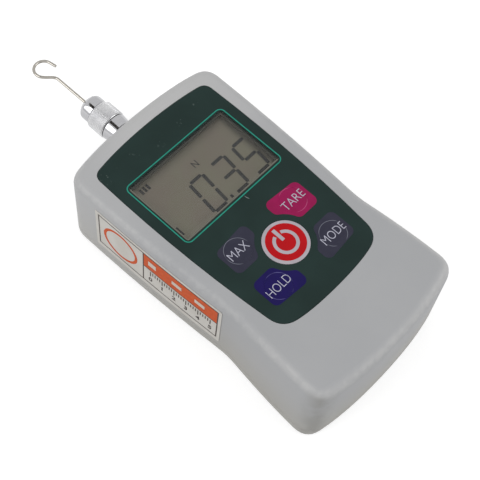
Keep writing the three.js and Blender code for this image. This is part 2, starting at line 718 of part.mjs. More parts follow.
function overlayPanel() {
  let film = loft([level(overlayPlan, overlayBase, 0), level(overlayPlan, caseDepth, 0)]);
  const opening = roundedRectangle(windowWidth, windowHeight, WINDOW_CORNER_RADIUS);
  film = film.subtract(raised(opening, 0, displayY, overlayBase - OVERRUN, caseDepth + OVERRUN));
  for (const { x, y, radius } of keys) {
    const sides = radius === POWER_KEY_RADIUS ? LARGE_ROUND : ROUND;
    const hole = pillar(x, y, radius + CLOSE_GAP, overlayBase - OVERRUN, caseDepth + OVERRUN, sides);
    film = film.subtract(hole);
  }
  return film;
}

function displayWindow() {
  const width = windowWidth - 2 * CLOSE_GAP;
  const height = windowHeight - 2 * CLOSE_GAP;
  const shape = roundedRectangle(width, height, WINDOW_CORNER_RADIUS);
  return raised(shape, 0, displayY, overlayBase, caseDepth);
}

// The holder stands on the board and rings the panel, which rests on the holder's inner ledge.
function panelHolder() {
  const outer = roundedRectangle(holderWidth, holderHeight, HOLDER_WALL);
  const seatWidth = panelWidth + 2 * CLOSE_GAP;
  const seatHeight = panelHeight + 2 * CLOSE_GAP;
  let holder = raised(outer, 0, displayY, boardTop, frontInside - FIT_GAP);
  const seat = block(
    -seatWidth / 2,
    seatWidth / 2,
    displayY - seatHeight / 2,
    displayY + seatHeight / 2,
    panelBase,
    frontInside,
  );
  holder = holder.subtract(seat);
  const insideWidth = panelWidth / 2 - HOLDER_LEDGE;
  const insideHeight = panelHeight / 2 - HOLDER_LEDGE;
  const well = block(
    -insideWidth,
    insideWidth,
    displayY - insideHeight,
    displayY + insideHeight,
    boardTop - OVERRUN,
    frontInside,
  );
  holder = holder.subtract(well);
  const hollow = block(
    -seatWidth / 2,
    seatWidth / 2,
    displayY - seatHeight / 2,
    displayY + seatHeight / 2,
    boardTop - OVERRUN,
    panelBase - HOLDER_LEDGE_THICKNESS,
  );
  return holder.subtract(hollow);
}

function displayPanel() {
  return block(
    -panelWidth / 2,
    panelWidth / 2,
    displayY - panelHeight / 2,
    displayY + panelHeight / 2,
    panelBase,
    frontInside,
  );
}

// The rubber connector strip is squeezed between the board and the panel, along the well's tail side.
function connectorStrip() {
  const edge = displayY - panelHeight / 2 + HOLDER_LEDGE + FIT_GAP;
  return block(
    -CONNECTOR_LENGTH / 2,
    CONNECTOR_LENGTH / 2,
    edge,
    edge + CONNECTOR_WIDTH,
    boardTop,
    panelBase,
  );
}

function mainBoard() {
  let board = block(-boardHalf, boardHalf, boardTailEnd, boardHookEnd, boardBase, boardTop);
  for (const [x, y] of boardScrews) {
    const radius = BOARD_SCREW_RADIUS + FIT_GAP;
    board = board.subtract(pillar(x, y, radius, boardBase - OVERRUN, boardTop + OVERRUN, SMALL_ROUND));
  }
  for (const [x, y] of caseScrews) {
    const radius = BOSS_RADIUS + FIT_GAP;
    board = board.subtract(pillar(x, y, radius, boardBase - OVERRUN, boardTop + OVERRUN, SMALL_ROUND));
  }
  return board;
}

// A key is a round cap with a crowned top, on a stem that reaches down to its switch.
function keyCap(radius, sides) {
  return turnedUpright(
    [
      [0, stemBase - keyBase],
      [KEY_STEM_RADIUS, stemBase - keyBase],
      [KEY_STEM_RADIUS, 0],
      [radius, 0],
      [radius, KEY_THICKNESS - KEY_RISE],
      [radius - KEY_EDGE, KEY_THICKNESS - KEY_CROWN],
      [radius / 2, KEY_THICKNESS - KEY_CROWN / 4],
      [0, KEY_THICKNESS],
    ],
    sides,
  );
}

function keySwitch() {
  const half = SWITCH_SIZE / 2;
  const body = block(-half, half, -half, half, 0, SWITCH_HEIGHT);
  const plungerTopHeight = SWITCH_HEIGHT + SWITCH_PLUNGER_RISE;
  return body.add(pillar(0, 0, SWITCH_PLUNGER_RADIUS, SWITCH_HEIGHT / 2, plungerTopHeight, SMALL_ROUND));
}

// A pan-head screw along Z with a cross slot, its head at the low end and its seat at height 0.
function screw(headRadius, headDepth, radius, length) {
  let body = pillar(0, 0, headRadius, -headDepth, 0, SMALL_ROUND);
  body = body.add(pillar(0, 0, radius, -headDepth / 2, length, SMALL_ROUND));
  const reach = headRadius * 0.6;
  const width = SCREW_SLOT_WIDTH / 2;
  const top = -headDepth + SCREW_SLOT_DEPTH;
  body = body.subtract(block(-reach, reach, -width, width, -headDepth - OVERRUN, top));
  return body.subtract(block(-width, width, -reach, reach, -headDepth - OVERRUN, top));
}

function standInsert() {
  const tube = pillar(0, 0, INSERT_RADIUS, 0, INSERT_LENGTH);
  return tube.subtract(pillar(0, 0, INSERT_BORE_RADIUS, -OVERRUN, INSERT_LENGTH + OVERRUN, SMALL_ROUND));
}

function chassisPlate() {
  const half = CELL_LENGTH / 2 + CHASSIS_MARGIN;
  const reach = INSERT_SPACING_Y / 2 + INSERT_RADIUS + CHASSIS_MARGIN;
  let plate = block(-half, half, cellY - reach, cellY + reach, chassisBase, chassisTop);
  for (const x of [-cellScrewX, cellScrewX]) {
    const radius = CELL_SCREW_RADIUS + FIT_GAP;
    const hole = pillar(x, cellY, radius, chassisBase - OVERRUN, chassisTop + OVERRUN, SMALL_ROUND);
    plate = plate.subtract(hole);
  }
  return plate;
}

// The load cell: a beam on two feet, with a window each side of its hub so that the thin walls flex.
function loadCell() {
  const half = CELL_LENGTH / 2;
  const back = cellY - CELL_DEPTH / 2;
  const front = cellY + CELL_DEPTH / 2;
  let cell = block(-half, half, back, front, cellBase, cellTop);
  cell = cell.add(block(-half, -half + CELL_FOOT_LENGTH, back, front, chassisTop, cellTop));
  cell = cell.add(block(half - CELL_FOOT_LENGTH, half, back, front, chassisTop, cellTop));
  const windowDepth = CELL_DEPTH - 2 * CELL_FLEXURE;
  const opening = roundedRectangle(CELL_WINDOW_LENGTH, windowDepth, CELL_WINDOW_LENGTH / 3);
  for (const side of [-1, 1]) {
    const x = (side * (CELL_HUB_WIDTH + CELL_WINDOW_LENGTH)) / 2;
    cell = cell.subtract(raised(opening, x, cellY, cellBase - OVERRUN, cellTop + OVERRUN));
    const radius = CELL_SCREW_RADIUS + FIT_GAP;
    const top = cellTop + OVERRUN;
    cell = cell.subtract(pillar(side * cellScrewX, cellY, radius, chassisTop - OVERRUN, top, SMALL_ROUND));
  }
  return cell.subtract(bar(studBoreRadius, back - OVERRUN, front + OVERRUN, SMALL_ROUND));
}

function measuringShaft() {
  const cellFront = cellY + CELL_DEPTH / 2;
  const collarStart = cellFront + FIT_GAP;
  const studStart = cellY - CELL_DEPTH / 2 - FIT_GAP - SHAFT_NUT_LENGTH - SHAFT_STUD_OVERHANG;
  return turnedOnShaft([
    [0, studStart],
    [SHAFT_STUD_RADIUS, studStart],
    [SHAFT_STUD_RADIUS, collarStart],
    [SHAFT_COLLAR_RADIUS, collarStart],
    [SHAFT_COLLAR_RADIUS, collarStart + SHAFT_COLLAR_LENGTH],
    [SHAFT_RADIUS, collarStart + SHAFT_COLLAR_LENGTH],
    [SHAFT_RADIUS, chuckY],
    [SHAFT_STUD_RADIUS, chuckY],
    [SHAFT_STUD_RADIUS, chuckY + CHUCK_STUD_DEPTH - FIT_GAP],
    [0, chuckY + CHUCK_STUD_DEPTH - FIT_GAP],
  ]);
}

function shaftNut() {
  const front = cellY - CELL_DEPTH / 2 - FIT_GAP;
  const nut = bar(SHAFT_NUT_RADIUS, front - SHAFT_NUT_LENGTH, front, 6);
  return nut.subtract(bar(studBoreRadius, front - SHAFT_NUT_LENGTH - OVERRUN, front + OVERRUN, SMALL_ROUND));
}

function shaftBush() {
  const wallInside = hookEnd - CASE_WALL;
  const flangeFront = wallInside - FIT_GAP - CLOSE_GAP;
  const back = flangeFront - BUSH_FLANGE_LENGTH;
  return turnedOnShaft([
    [shaftBoreRadius, back],
    [bushRadius + BUSH_FLANGE, back],
    [bushRadius + BUSH_FLANGE, flangeFront],
    [bushRadius, flangeFront],
    [bushRadius, hookEnd + BUSH_STAND_OUT],
    [shaftBoreRadius, hookEnd + BUSH_STAND_OUT],
    [shaftBoreRadius, back],
  ]);
}

// The chuck body: the rear ring with its rim, the core that the sleeve turns on, and the nose's spigot.
function chuckBody() {
  const ringEnd = chuckY + CHUCK_RING_LENGTH;
  const rimStart = ringEnd - CHUCK_RIM_LENGTH;
  const spigotRadius = CHUCK_CORE_RADIUS - SPIGOT_WALL / 2;
  return turnedOnShaft([
    [0, chuckY + CHUCK_STUD_DEPTH],
    [studBoreRadius, chuckY + CHUCK_STUD_DEPTH],
    [studBoreRadius, chuckY],
    [CHUCK_TAIL_RADIUS, chuckY],
    [CHUCK_BAND_RADIUS, rimStart - CHUCK_RIM_CONE],
    [CHUCK_RIM_RADIUS, rimStart],
    [CHUCK_RIM_RADIUS, ringEnd],
    [CHUCK_CORE_RADIUS, ringEnd],
    [CHUCK_CORE_RADIUS, noseY],
    [spigotRadius, noseY],
    [spigotRadius, noseY + SPIGOT_LENGTH],
    [jawBoreRadius, noseY + SPIGOT_LENGTH],
    [jawBoreRadius, jawBaseY - FIT_GAP],
    [0, jawBaseY - FIT_GAP],
  ]);
}

// The knurled sleeve: a toothed ring with bevelled ends.
function knurledSleeve() {
  const teeth = new THREE.Shape();
  for (let i = 0; i < 2 * KNURL_TEETH; i += 1) {
    const angle = (i / KNURL_TEETH) * Math.PI;
    const radius = SLEEVE_RADIUS - (i % 2) * KNURL_DEPTH;
    const x = radius * Math.cos(angle);
    const y = radius * Math.sin(angle);
    if (i === 0) teeth.moveTo(x, y);
    else teeth.lineTo(x, y);
  }
  const toothed = new THREE.ExtrudeGeometry(teeth, { depth: SLEEVE_LENGTH, bevelEnabled: false });
  toothed.rotateX(-Math.PI / 2);
  toothed.translate(0, sleeveY, shaftHeight);
  const end = sleeveY + SLEEVE_LENGTH;
  const envelope = turnedOnShaft([
    [0, sleeveY],
    [SLEEVE_RADIUS - SLEEVE_BEVEL, sleeveY],
    [SLEEVE_RADIUS, sleeveY + SLEEVE_BEVEL],
    [SLEEVE_RADIUS, end - SLEEVE_BEVEL],
    [SLEEVE_RADIUS - SLEEVE_BEVEL, end],
    [0, end],
  ]);
  const sleeve = solid(toothed).intersect(envelope);
  return sleeve.subtract(bar(CHUCK_CORE_RADIUS + FIT_GAP, sleeveY - OVERRUN, end + OVERRUN));
}

function chuckNose() {
  const spigotBore = CHUCK_CORE_RADIUS - SPIGOT_WALL / 2 + FIT_GAP;
  const coneStart = noseFaceY - NOSE_CONE;
  const spigotEnd = noseY + SPIGOT_LENGTH + FIT_GAP;
  return turnedOnShaft([
    [spigotBore, noseY],
    [NOSE_RADIUS, noseY],
    [NOSE_RADIUS, coneStart],
    [NOSE_SHOULDER_RADIUS, noseFaceY - NOSE_SHOULDER],
    [NOSE_KNEE_RADIUS, noseFaceY - NOSE_KNEE],
    [NOSE_FACE_RADIUS, noseFaceY],
    [NOSE_MOUTH_RADIUS, noseFaceY],
    [NOSE_MOUTH_RADIUS, noseFaceY - NOSE_LIP],
    [jawBoreRadius, noseFaceY - NOSE_LIP],
    [jawBoreRadius, spigotEnd],
    [spigotBore, spigotEnd],
    [spigotBore, noseY],
  ]);
}

// A jaw is a third of a round bar with a flat tip that grips the wire; it is drawn pointing along +X.
function chuckJaw() {
  const halfAngle = Math.PI / JAW_COUNT;
  const grip = WIRE_RADIUS + JAW_GRIP_GAP;
  const gap = CLOSE_GAP / Math.sin(halfAngle);
  const section = new THREE.Shape();
  const gripHalf = (grip - gap) * Math.tan(halfAngle);
  section.moveTo(grip, -gripHalf);
  const arcHalf = halfAngle - CLOSE_GAP / JAW_RADIUS;
  for (let i = 0; i <= CURVE_STEPS; i += 1) {
    const angle = -arcHalf + (2 * arcHalf * i) / CURVE_STEPS;
    section.lineTo(JAW_RADIUS * Math.cos(angle), JAW_RADIUS * Math.sin(angle));
  }
  section.lineTo(grip, gripHalf);
  const body = new THREE.ExtrudeGeometry(section, { depth: JAW_LENGTH, bevelEnabled: false });
  body.rotateX(-Math.PI / 2);
  return body;
}

// The hook's centre line: straight out of the nose, a bend to one side, round the loop and back to the tip.
class HookLine extends THREE.Curve {
  constructor() {
    super();
    const neckY = noseFaceY + HOOK_NECK_FROM_NOSE;
    const centreY = neckY + LOOP_FROM_NECK;
    const start = THREE.MathUtils.degToRad(LOOP_START_ANGLE);
    const end = THREE.MathUtils.degToRad(LOOP_END_ANGLE);
    const startX = LOOP_CENTRE_X + LOOP_RADIUS * Math.cos(start);
    const startY = centreY + LOOP_RADIUS * Math.sin(start);
    const endX = LOOP_CENTRE_X + LOOP_RADIUS * Math.cos(end);
    const endY = centreY + LOOP_RADIUS * Math.sin(end);
    const bend = (startY - neckY) / 4;
    this.flat = new THREE.Path();
    this.flat.moveTo(0, jawBaseY + FIT_GAP);
    this.flat.lineTo(0, neckY - bend);
    this.flat.bezierCurveTo(
      0,
      neckY + bend,
      startX - 2 * bend * Math.sin(start),
      startY + 2 * bend * Math.cos(start),
      startX,
      startY,
    );
    this.flat.absarc(LOOP_CENTRE_X, centreY, LOOP_RADIUS, start, end, true);
    this.flat.lineTo(endX + LOOP_TIP_LENGTH * Math.sin(end), endY - LOOP_TIP_LENGTH * Math.cos(end));
  }

  getPoint(t, target = new THREE.Vector3()) {
    const point = this.flat.getPoint(t);
    return target.set(point.x, point.y, shaftHeight);
  }
}

// A cell lies along X with its nub at the +X end, centred on its own length.
function batteryCell() {
  const half = BATTERY_LENGTH / 2;
  const shape = new THREE.LatheGeometry(
    [
      [0, -half],
      [BATTERY_RADIUS, -half],
      [BATTERY_RADIUS, half],
      [BATTERY_NUB_RADIUS, half],
      [BATTERY_NUB_RADIUS, half + BATTERY_NUB_LENGTH],
      [0, half + BATTERY_NUB_LENGTH],
    ].map(([r, y]) => new THREE.Vector2(r, y)),
    ROUND,
  );
  shape.rotateZ(-Math.PI / 2);
  return geometryOf(solid(shape));
}

// A cell spring winds along X, starting at the contact plate.
class SpringLine extends THREE.Curve {
  getPoint(t, target = new THREE.Vector3()) {
    const angle = 2 * Math.PI * SPRING_TURNS * t;
    const travel = SPRING_WIRE_RADIUS + (SPRING_LENGTH - FIT_GAP - 2 * SPRING_WIRE_RADIUS) * t;
    return target.set(travel, SPRING_RADIUS * Math.cos(angle), SPRING_RADIUS * Math.sin(angle));
  }
}

function sideSticker() {
  const outer = loft([
    level(casePlan, 0, -STICKER_GAP - STICKER_THICKNESS),
    level(casePlan, caseDepth, -STICKER_GAP - STICKER_THICKNESS),
  ]);
  const inner = loft([
    level(casePlan, -OVERRUN, -STICKER_GAP),
    level(casePlan, caseDepth + OVERRUN, -STICKER_GAP),
  ]);
  const sheet = roundedRectangle(STICKER_HEIGHT, STICKER_LENGTH, STICKER_CORNER_RADIUS);
  const cutter = new THREE.ExtrudeGeometry(sheet, {
    depth: HOOK_END_WIDTH / 2,
    bevelEnabled: false,
    curveSegments: CURVE_STEPS,
  });
  cutter.rotateY(-Math.PI / 2);
  const y = hookEnd - STICKER_FROM_HOOK_END - STICKER_LENGTH / 2;
  const z = caseDepth - STICKER_FROM_FRONT - STICKER_HEIGHT / 2;
  cutter.translate(-HOOK_END_WIDTH / 4, y, z);
  return outer.subtract(inner).intersect(solid(cutter));
}

// A lead that leaves a piece along Y and bends up to the board.
function lead(x, y, z, direction) {
  const reach = direction * LEAD_REACH;
  const line = new THREE.QuadraticBezierCurve3(
    new THREE.Vector3(x, y, z),
    new THREE.Vector3(x, y + reach, z),
    new THREE.Vector3(x, y + reach, boardBase - FIT_GAP),
  );
  return wire(line, LEAD_RADIUS, 2 * CURVE_STEPS, 3);
}

// Case and front
piece("front_shell", frontShell(), greyPlastic);
piece("rear_shell", rearShell(), greyPlastic);
piece("overlay_panel", overlayPanel(), greenFilm);
piece("display_window", displayWindow(), clearPlastic);
piece("side_sticker", sideSticker(), whiteVinyl);

// Display, board and keys
piece("display_panel", displayPanel(), displayGlass);
piece("display_holder", panelHolder(), blackPlastic);
piece("display_connector", connectorStrip(), rubberGrey);
piece("main_board", mainBoard(), boardGreen);
const chipHalf = PROCESSOR_SIZE / 2;
const chip = block(-chipHalf, chipHalf, -chipHalf, chipHalf, -PROCESSOR_HEIGHT, 0);
piece("processor", chip, blackPlastic, 0, keypadY, boardBase);
const keyMaterials = {
  power: redFilm,
  tare: pinkFilm,
  max: slateFilm,
  mode: slateFilm,
  hold: navyFilm,
};
const powerCap = geometryOf(keyCap(POWER_KEY_RADIUS, LARGE_ROUND));
const smallCap = geometryOf(keyCap(SMALL_KEY_RADIUS, ROUND));
const switchForm = geometryOf(keySwitch());
for (const { name, x, y, radius } of keys) {
  const cap = radius === POWER_KEY_RADIUS ? powerCap : smallCap;
  piece("key_" + name, cap, keyMaterials[name], x, y, keyBase);
  piece("switch_" + name, switchForm, blackPlastic, x, y, boardTop);
}

// Chassis and load cell
piece("chassis_plate", chassisPlate(), sheetSteel);
piece("load_cell", loadCell(), aluminium);
const insertForm = geometryOf(standInsert());
inserts.forEach(([x, y], i) => piece("stand_insert_" + (i + 1), insertForm, brass, x, y));
const cellScrewForm = screw(
  CELL_SCREW_HEAD_RADIUS,
  CELL_SCREW_HEAD_HEIGHT,
  CELL_SCREW_RADIUS,
  cellTop - chassisBase,
);
const cellScrew = geometryOf(cellScrewForm);
cellScrew.rotateX(Math.PI);
piece("load_cell_screw_1", cellScrew, sheetSteel, -cellScrewX, cellY, cellTop);
piece("load_cell_screw_2", cellScrew, sheetSteel, cellScrewX, cellY, cellTop);

// Shaft, chuck and hook
piece("shaft_bush", shaftBush(), blackPlastic);
piece("measuring_shaft", measuringShaft(), sheetSteel);
piece("shaft_nut", shaftNut(), sheetSteel);
piece("chuck_body", chuckBody(), chrome);
piece("knurled_sleeve", knurledSleeve(), chrome);
piece("chuck_nose", chuckNose(), chrome);
const jawForm = chuckJaw();
for (let i = 0; i < JAW_COUNT; i += 1) {
  const holder = new THREE.Group();
  const jaw = new THREE.Mesh(jawForm, sheetSteel);
  jaw.name = "chuck_jaw_" + (i + 1);
  holder.position.set(0, jawBaseY, shaftHeight);
  holder.rotation.y = -Math.PI / 2 + (i * 2 * Math.PI) / JAW_COUNT;
  holder.add(jaw);
  gauge.add(holder);
}
piece("hook", wire(new HookLine(), WIRE_RADIUS, WIRE_STEPS, 4), springSteel);

// Batteries and their contacts: the two cells lie head to tail.
piece("battery_door", batteryDoor(), greyPlastic);
const cellForm = batteryCell();
const springForm = geometryOf(wire(new SpringLine(), SPRING_WIRE_RADIUS, SPRING_TURNS * SPRING_TURN_STEPS, 3));
const plateHalf = CONTACT_WIDTH / 2;
const contactHalf = CONTACT_HEIGHT / 2;
const plate = block(0, CONTACT_THICKNESS, -plateHalf, plateHalf, -contactHalf, contactHalf);
const hookCellY = bayHook - BAY_WALL - BATTERY_GAP - BATTERY_RADIUS;
const cellPitch = 2 * BATTERY_RADIUS + BATTERY_GAP;
[1, -1].forEach((facing, i) => {
  const bay = new THREE.Group();
  bay.position.set(0, hookCellY - i * cellPitch, batteryHeight);
  bay.rotation.z = facing > 0 ? 0 : Math.PI;
  const parts = [
    ["battery_", cellForm, cellWrap, bayHalf - CONTACT_THICKNESS - FIT_GAP - BATTERY_NUB_LENGTH - BATTERY_LENGTH / 2],
    ["battery_spring_", springForm, springSteel, -bayHalf + CONTACT_THICKNESS],
    ["battery_minus_plate_", geometryOf(plate), sheetSteel, -bayHalf],
    ["battery_plus_plate_", geometryOf(plate), sheetSteel, bayHalf - CONTACT_THICKNESS],
  ];
  for (const [name, form, material, x] of parts) {
    const mesh = new THREE.Mesh(form, material);
    mesh.name = name + (i + 1);
    mesh.position.x = x;
    bay.add(mesh);
  }
  gauge.add(bay);
});

// Screws
const caseScrew = geometryOf(
  screw(CASE_SCREW_HEAD_RADIUS, CASE_SCREW_HEAD_DEPTH, CASE_SCREW_RADIUS, CASE_SCREW_LENGTH),
);
caseScrews.forEach(([x, y], i) => {
  piece("case_screw_" + (i + 1), caseScrew, sheetSteel, x, y, CASE_SCREW_SINK + CASE_SCREW_HEAD_DEPTH);
});
const boardScrew = geometryOf(
  screw(BOARD_SCREW_HEAD_RADIUS, BOARD_SCREW_HEAD_HEIGHT, BOARD_SCREW_RADIUS, BOARD_SCREW_LENGTH),
);
boardScrews.forEach(([x, y], i) => {
  piece("board_screw_" + (i + 1), boardScrew, sheetSteel, x, y, boardBase);
});

// Leads inside
const leadStart = bayHook + FIT_GAP;
piece("battery_lead_red", lead(-LEAD_SPACING, leadStart, batteryHeight, 1), redWire);
piece("battery_lead_black", lead(LEAD_SPACING, leadStart, batteryHeight, 1), blackWire);
const cellLeadY = cellY - CELL_DEPTH / 2 - FIT_GAP;
piece("load_cell_lead", lead(-cellScrewX, cellLeadY, cellTop - CELL_FLEXURE, -1), blackWire);

export default gauge;
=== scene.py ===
import json
import math

import bpy
from mathutils import Matrix, Quaternion, Vector

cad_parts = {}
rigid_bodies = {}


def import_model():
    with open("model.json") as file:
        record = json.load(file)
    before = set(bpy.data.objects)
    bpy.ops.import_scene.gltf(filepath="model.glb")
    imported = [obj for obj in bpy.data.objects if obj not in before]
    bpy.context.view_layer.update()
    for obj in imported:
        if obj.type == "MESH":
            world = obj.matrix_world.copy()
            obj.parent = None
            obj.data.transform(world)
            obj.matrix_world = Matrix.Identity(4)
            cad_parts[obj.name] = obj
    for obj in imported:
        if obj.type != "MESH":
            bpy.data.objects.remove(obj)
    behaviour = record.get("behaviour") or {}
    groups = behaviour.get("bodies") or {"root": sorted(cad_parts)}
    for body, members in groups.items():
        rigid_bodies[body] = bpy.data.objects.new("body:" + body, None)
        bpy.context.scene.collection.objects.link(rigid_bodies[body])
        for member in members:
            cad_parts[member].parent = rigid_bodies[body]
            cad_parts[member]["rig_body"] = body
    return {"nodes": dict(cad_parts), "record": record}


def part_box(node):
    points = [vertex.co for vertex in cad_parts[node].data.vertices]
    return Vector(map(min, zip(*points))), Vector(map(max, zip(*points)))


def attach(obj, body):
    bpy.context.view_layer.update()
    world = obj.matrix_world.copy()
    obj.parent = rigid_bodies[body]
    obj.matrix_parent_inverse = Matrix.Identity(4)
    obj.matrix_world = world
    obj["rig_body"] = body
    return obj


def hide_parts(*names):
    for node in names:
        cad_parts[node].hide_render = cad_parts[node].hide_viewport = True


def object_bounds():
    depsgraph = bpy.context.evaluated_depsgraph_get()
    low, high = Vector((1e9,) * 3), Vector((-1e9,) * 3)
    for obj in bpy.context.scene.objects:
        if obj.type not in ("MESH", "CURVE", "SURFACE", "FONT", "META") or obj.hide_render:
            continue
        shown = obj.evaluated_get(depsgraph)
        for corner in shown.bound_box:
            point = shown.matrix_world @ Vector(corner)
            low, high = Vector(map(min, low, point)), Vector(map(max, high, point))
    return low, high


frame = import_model()
cad_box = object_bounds()

# Camera
# The gauge lies on its back, and the camera looks down on it from over its
# left side, near the tail, through a moderately long lens.
MM = 0.001
CAMERA_PLACE = (-0.151385, -0.100534, 0.362086)
CAMERA_TURN = (0.892505, 0.2059, -0.126115, -0.380966)
LENS_MM = 86.25

bpy.ops.object.camera_add(location=CAMERA_PLACE)
camera = bpy.context.object
camera.rotation_mode = "QUATERNION"
camera.rotation_quaternion = Quaternion(CAMERA_TURN)
camera.data.lens = LENS_MM
bpy.context.scene.camera = camera

# Floor, backdrop and lamps
# A pale sheet lies under the gauge and fades into a white room. One large soft
# lamp stands to the left of it, and a weaker one over its right side. A narrow
# dark card overhead, which only polished metal reflects, gives it a dark line.
FLOOR_SIZE = 4.0
FLOOR_GAP = 0.05 * MM
FLOOR_COLOUR = (0.62, 0.62, 0.62, 1)
FLOOR_LIFT = 0.58
ROOM_LIGHT = 0.62
LAMPS = {
    "left_softbox": ((-0.62, 0.34, 0.52), 0.55, 2.5),
    "right_softbox": ((0.62, -0.72, 0.72), 0.8, 3.9),
}
CARD_SIZE = (0.29, 0.42)
CARD_PLACE = (-0.158, 0.36, 0.72)
CARD_COLOUR = (0.09, 0.08, 0.07, 1)


class Tone:
    """A socket of a material. Sums with it add Math nodes, and node() any other."""

    def __init__(self, tree, socket=None):
        self.tree = tree
        self.socket = socket

    def node(self, kind, settings=None, sockets=None, output=0):
        made = self.tree.nodes.new("ShaderNode" + kind)
        for name, value in (settings or {}).items():
            setattr(made, name, value)
        for name, value in (sockets or {}).items():
            if isinstance(value, Tone):
                self.tree.links.new(value.socket, made.inputs[name])
            else:
                made.inputs[name].default_value = value
        return Tone(self.tree, made.outputs[output])

    def math(self, operation, *values):
        sockets = dict(enumerate((self, *values)))
        return self.node("Math", {"operation": operation}, sockets)

    def __add__(self, other):
        return self.math("ADD", other)

    __radd__ = __add__

    def __mul__(self, other):
        return self.math("MULTIPLY", other)

    __rmul__ = __mul__

    def __sub__(self, other):
        return self.math("SUBTRACT", other)

    def __rsub__(self, other):
        return self.node("Math", {"operation": "SUBTRACT"}, {0: other, 1: self})

    def band(self, low, high):
        """0 below low, 1 above high, and smooth between them."""
        settings = {"interpolation_type": "SMOOTHSTEP"}
        return self.node("MapRange", settings, {0: self, 1: low, 2: high})

    def mixed(self, first, second):
        """The first colour where this mask is 0, and the second where it is 1."""
        sockets = {0: self, 6: first, 7: second}
        return self.node("Mix", {"data_type": "RGBA"}, sockets, 2)

    def to(self, name):
        surface = self.tree.nodes["Principled BSDF"]
        self.tree.links.new(self.socket, surface.inputs[name])


def lifted_floor(name):
    """A matt floor that looks paler to the camera and in polished metal."""
    material = bpy.data.materials.new(name)
    material.use_nodes = True
    surface = material.node_tree.nodes["Principled BSDF"]
    surface.inputs["Base Color"].default_value = FLOOR_COLOUR
    surface.inputs["Roughness"].default_value = 0.9
    surface.inputs["Specular IOR Level"].default_value = 0.1
    surface.inputs["Emission Color"].default_value = (1, 1, 1, 1)
    start = Tone(material.node_tree)
    camera_ray = start.node("LightPath", output="Is Camera Ray")
    glossy_ray = start.node("LightPath", output="Is Glossy Ray")
    lift = (camera_ray + glossy_ray) * FLOOR_LIFT
    lift.to("Emission Strength")
    return material


bpy.ops.object.select_all(action="DESELECT")
floor_height = cad_box[0].z - FLOOR_GAP
bpy.ops.mesh.primitive_plane_add(size=FLOOR_SIZE, location=(0, 0, floor_height))
floor = bpy.context.object
floor.name = "floor"
floor.data.materials.append(lifted_floor("pale floor"))

room = bpy.data.worlds.new("room")
bpy.context.scene.world = room
room.use_nodes = True
backdrop = Tone(room.node_tree)
seen = backdrop.node("LightPath", output="Is Camera Ray")
seen = seen + backdrop.node("LightPath", output="Is Glossy Ray")
seen = (seen + backdrop.node("LightPath", output="Is Transmission Ray")).math("MINIMUM", 1)
strength = seen * (1 - ROOM_LIGHT) + ROOM_LIGHT
sky = room.node_tree.nodes["Background"]
sky.inputs["Color"].default_value = (1, 1, 1, 1)
room.node_tree.links.new(strength.socket, sky.inputs["Strength"])

aim = (cad_box[0] + cad_box[1]) / 2
for name, (place, size, power) in LAMPS.items():
    bpy.ops.object.light_add(type="AREA", location=place)
    lamp = bpy.context.object
    lamp.name = name
    lamp.data.shape = "SQUARE"
    lamp.data.size = size
    lamp.data.energy = power
    lamp.rotation_mode = "QUATERNION"
    lamp.rotation_quaternion = (aim - Vector(place)).to_track_quat("-Z", "Y")
bpy.context.scene.view_settings.view_transform = "Standard"

dark_card = bpy.data.materials.new("dark card")
dark_card.use_nodes = True
card_surface = dark_card.node_tree.nodes["Principled BSDF"]
card_surface.inputs["Base Color"].default_value = CARD_COLOUR
card_surface.inputs["Specular IOR Level"].default_value = 0.0
bpy.ops.object.select_all(action="DESELECT")
bpy.ops.mesh.primitive_plane_add(size=1, location=CARD_PLACE)
card = bpy.context.object
card.name = "dark_card"
card.scale = (*CARD_SIZE, 1)
card.data.materials.append(dark_card)
card.visible_camera = False
card.visible_diffuse = False
card.visible_shadow = False
card.visible_transmission = False

# Moulded case
# Front and rear halves of injection moulded light grey plastic, and the battery
# door in the rear one. The satin grain comes from the mould. The rounded rims
# are rubbed smoother and paler in patches and scuffs, and carry a painted
# highlight as well, strongest on the right side and toward both ends. The hook
# end is painted paler all over as a highlight, most toward the front and right,
# and one tail corner is darker in noisy patches below the front.
CASE_GREY = (166, 167, 169)
CASE_WARM = (168, 166, 160)
CASE_WORN_AND_HIGHLIGHT = (185, 185, 185)
CASE_CORNER_DARK = (146, 145, 141)
RIM_WEAR_AND_HIGHLIGHT = "rim"
RIM_GAIN = 16
GRAIN_SCALE = 2600
BLOTCH_SCALE = 38
SCUFF_SCALE = 420
SOIL_SCALE = 130
GRAIN_DEPTH = 0.012 * MM
SMOOTH_ANGLE = 32
MERGE_DISTANCE = 0.002 * MM
BACK_TO_FRONT_Z = (-4 * MM, 30 * MM)
HOOK_END_Y = (5 * MM, 55 * MM)
HOOK_END_X = (-32 * MM, 2 * MM)
UPPER_Z = (24 * MM, 33 * MM)
RIGHT_X = (5 * MM, 30 * MM)
WAIST_Y = (5 * MM, 40 * MM)
CORNER_X = (-32 * MM, -25 * MM)
CORNER_Y = (-57 * MM, -47 * MM)
FRONT_Z = (32.5 * MM, 34.5 * MM)

slot_of = {part["node"]: part["material_slot"] for part in frame["record"]["subparts"]}


def paint(red, green, blue):
    """A colour as a screen shows it, for a socket, which holds linear light."""
    parts = [value / 255 for value in (red, green, blue)]
    linear = [v / 12.92 if v <= 0.04045 else ((v + 0.055) / 1.055) ** 2.4 for v in parts]
    return (*linear, 1)


def finish(name, **settled):
    """A material with the given sockets set, and a Tone to build on."""
    material = bpy.data.materials.new(name)
    material.use_nodes = True
    surface = material.node_tree.nodes["Principled BSDF"]
    for socket, value in settled.items():
        surface.inputs[socket.replace("_", " ")].default_value = value
    return material, Tone(material.node_tree)


def spot(start):
    return start.node("TexCoord", output="Object")


def noise(start, scale, detail=2):
    sockets = {"Vector": spot(start), "Scale": scale, "Detail": detail}
    return start.node("TexNoise", sockets=sockets)


def bump(height, depth, strength):
    sockets = {"Strength": strength, "Distance": depth, "Height": height}
    height.node("Bump", sockets=sockets).to("Normal")


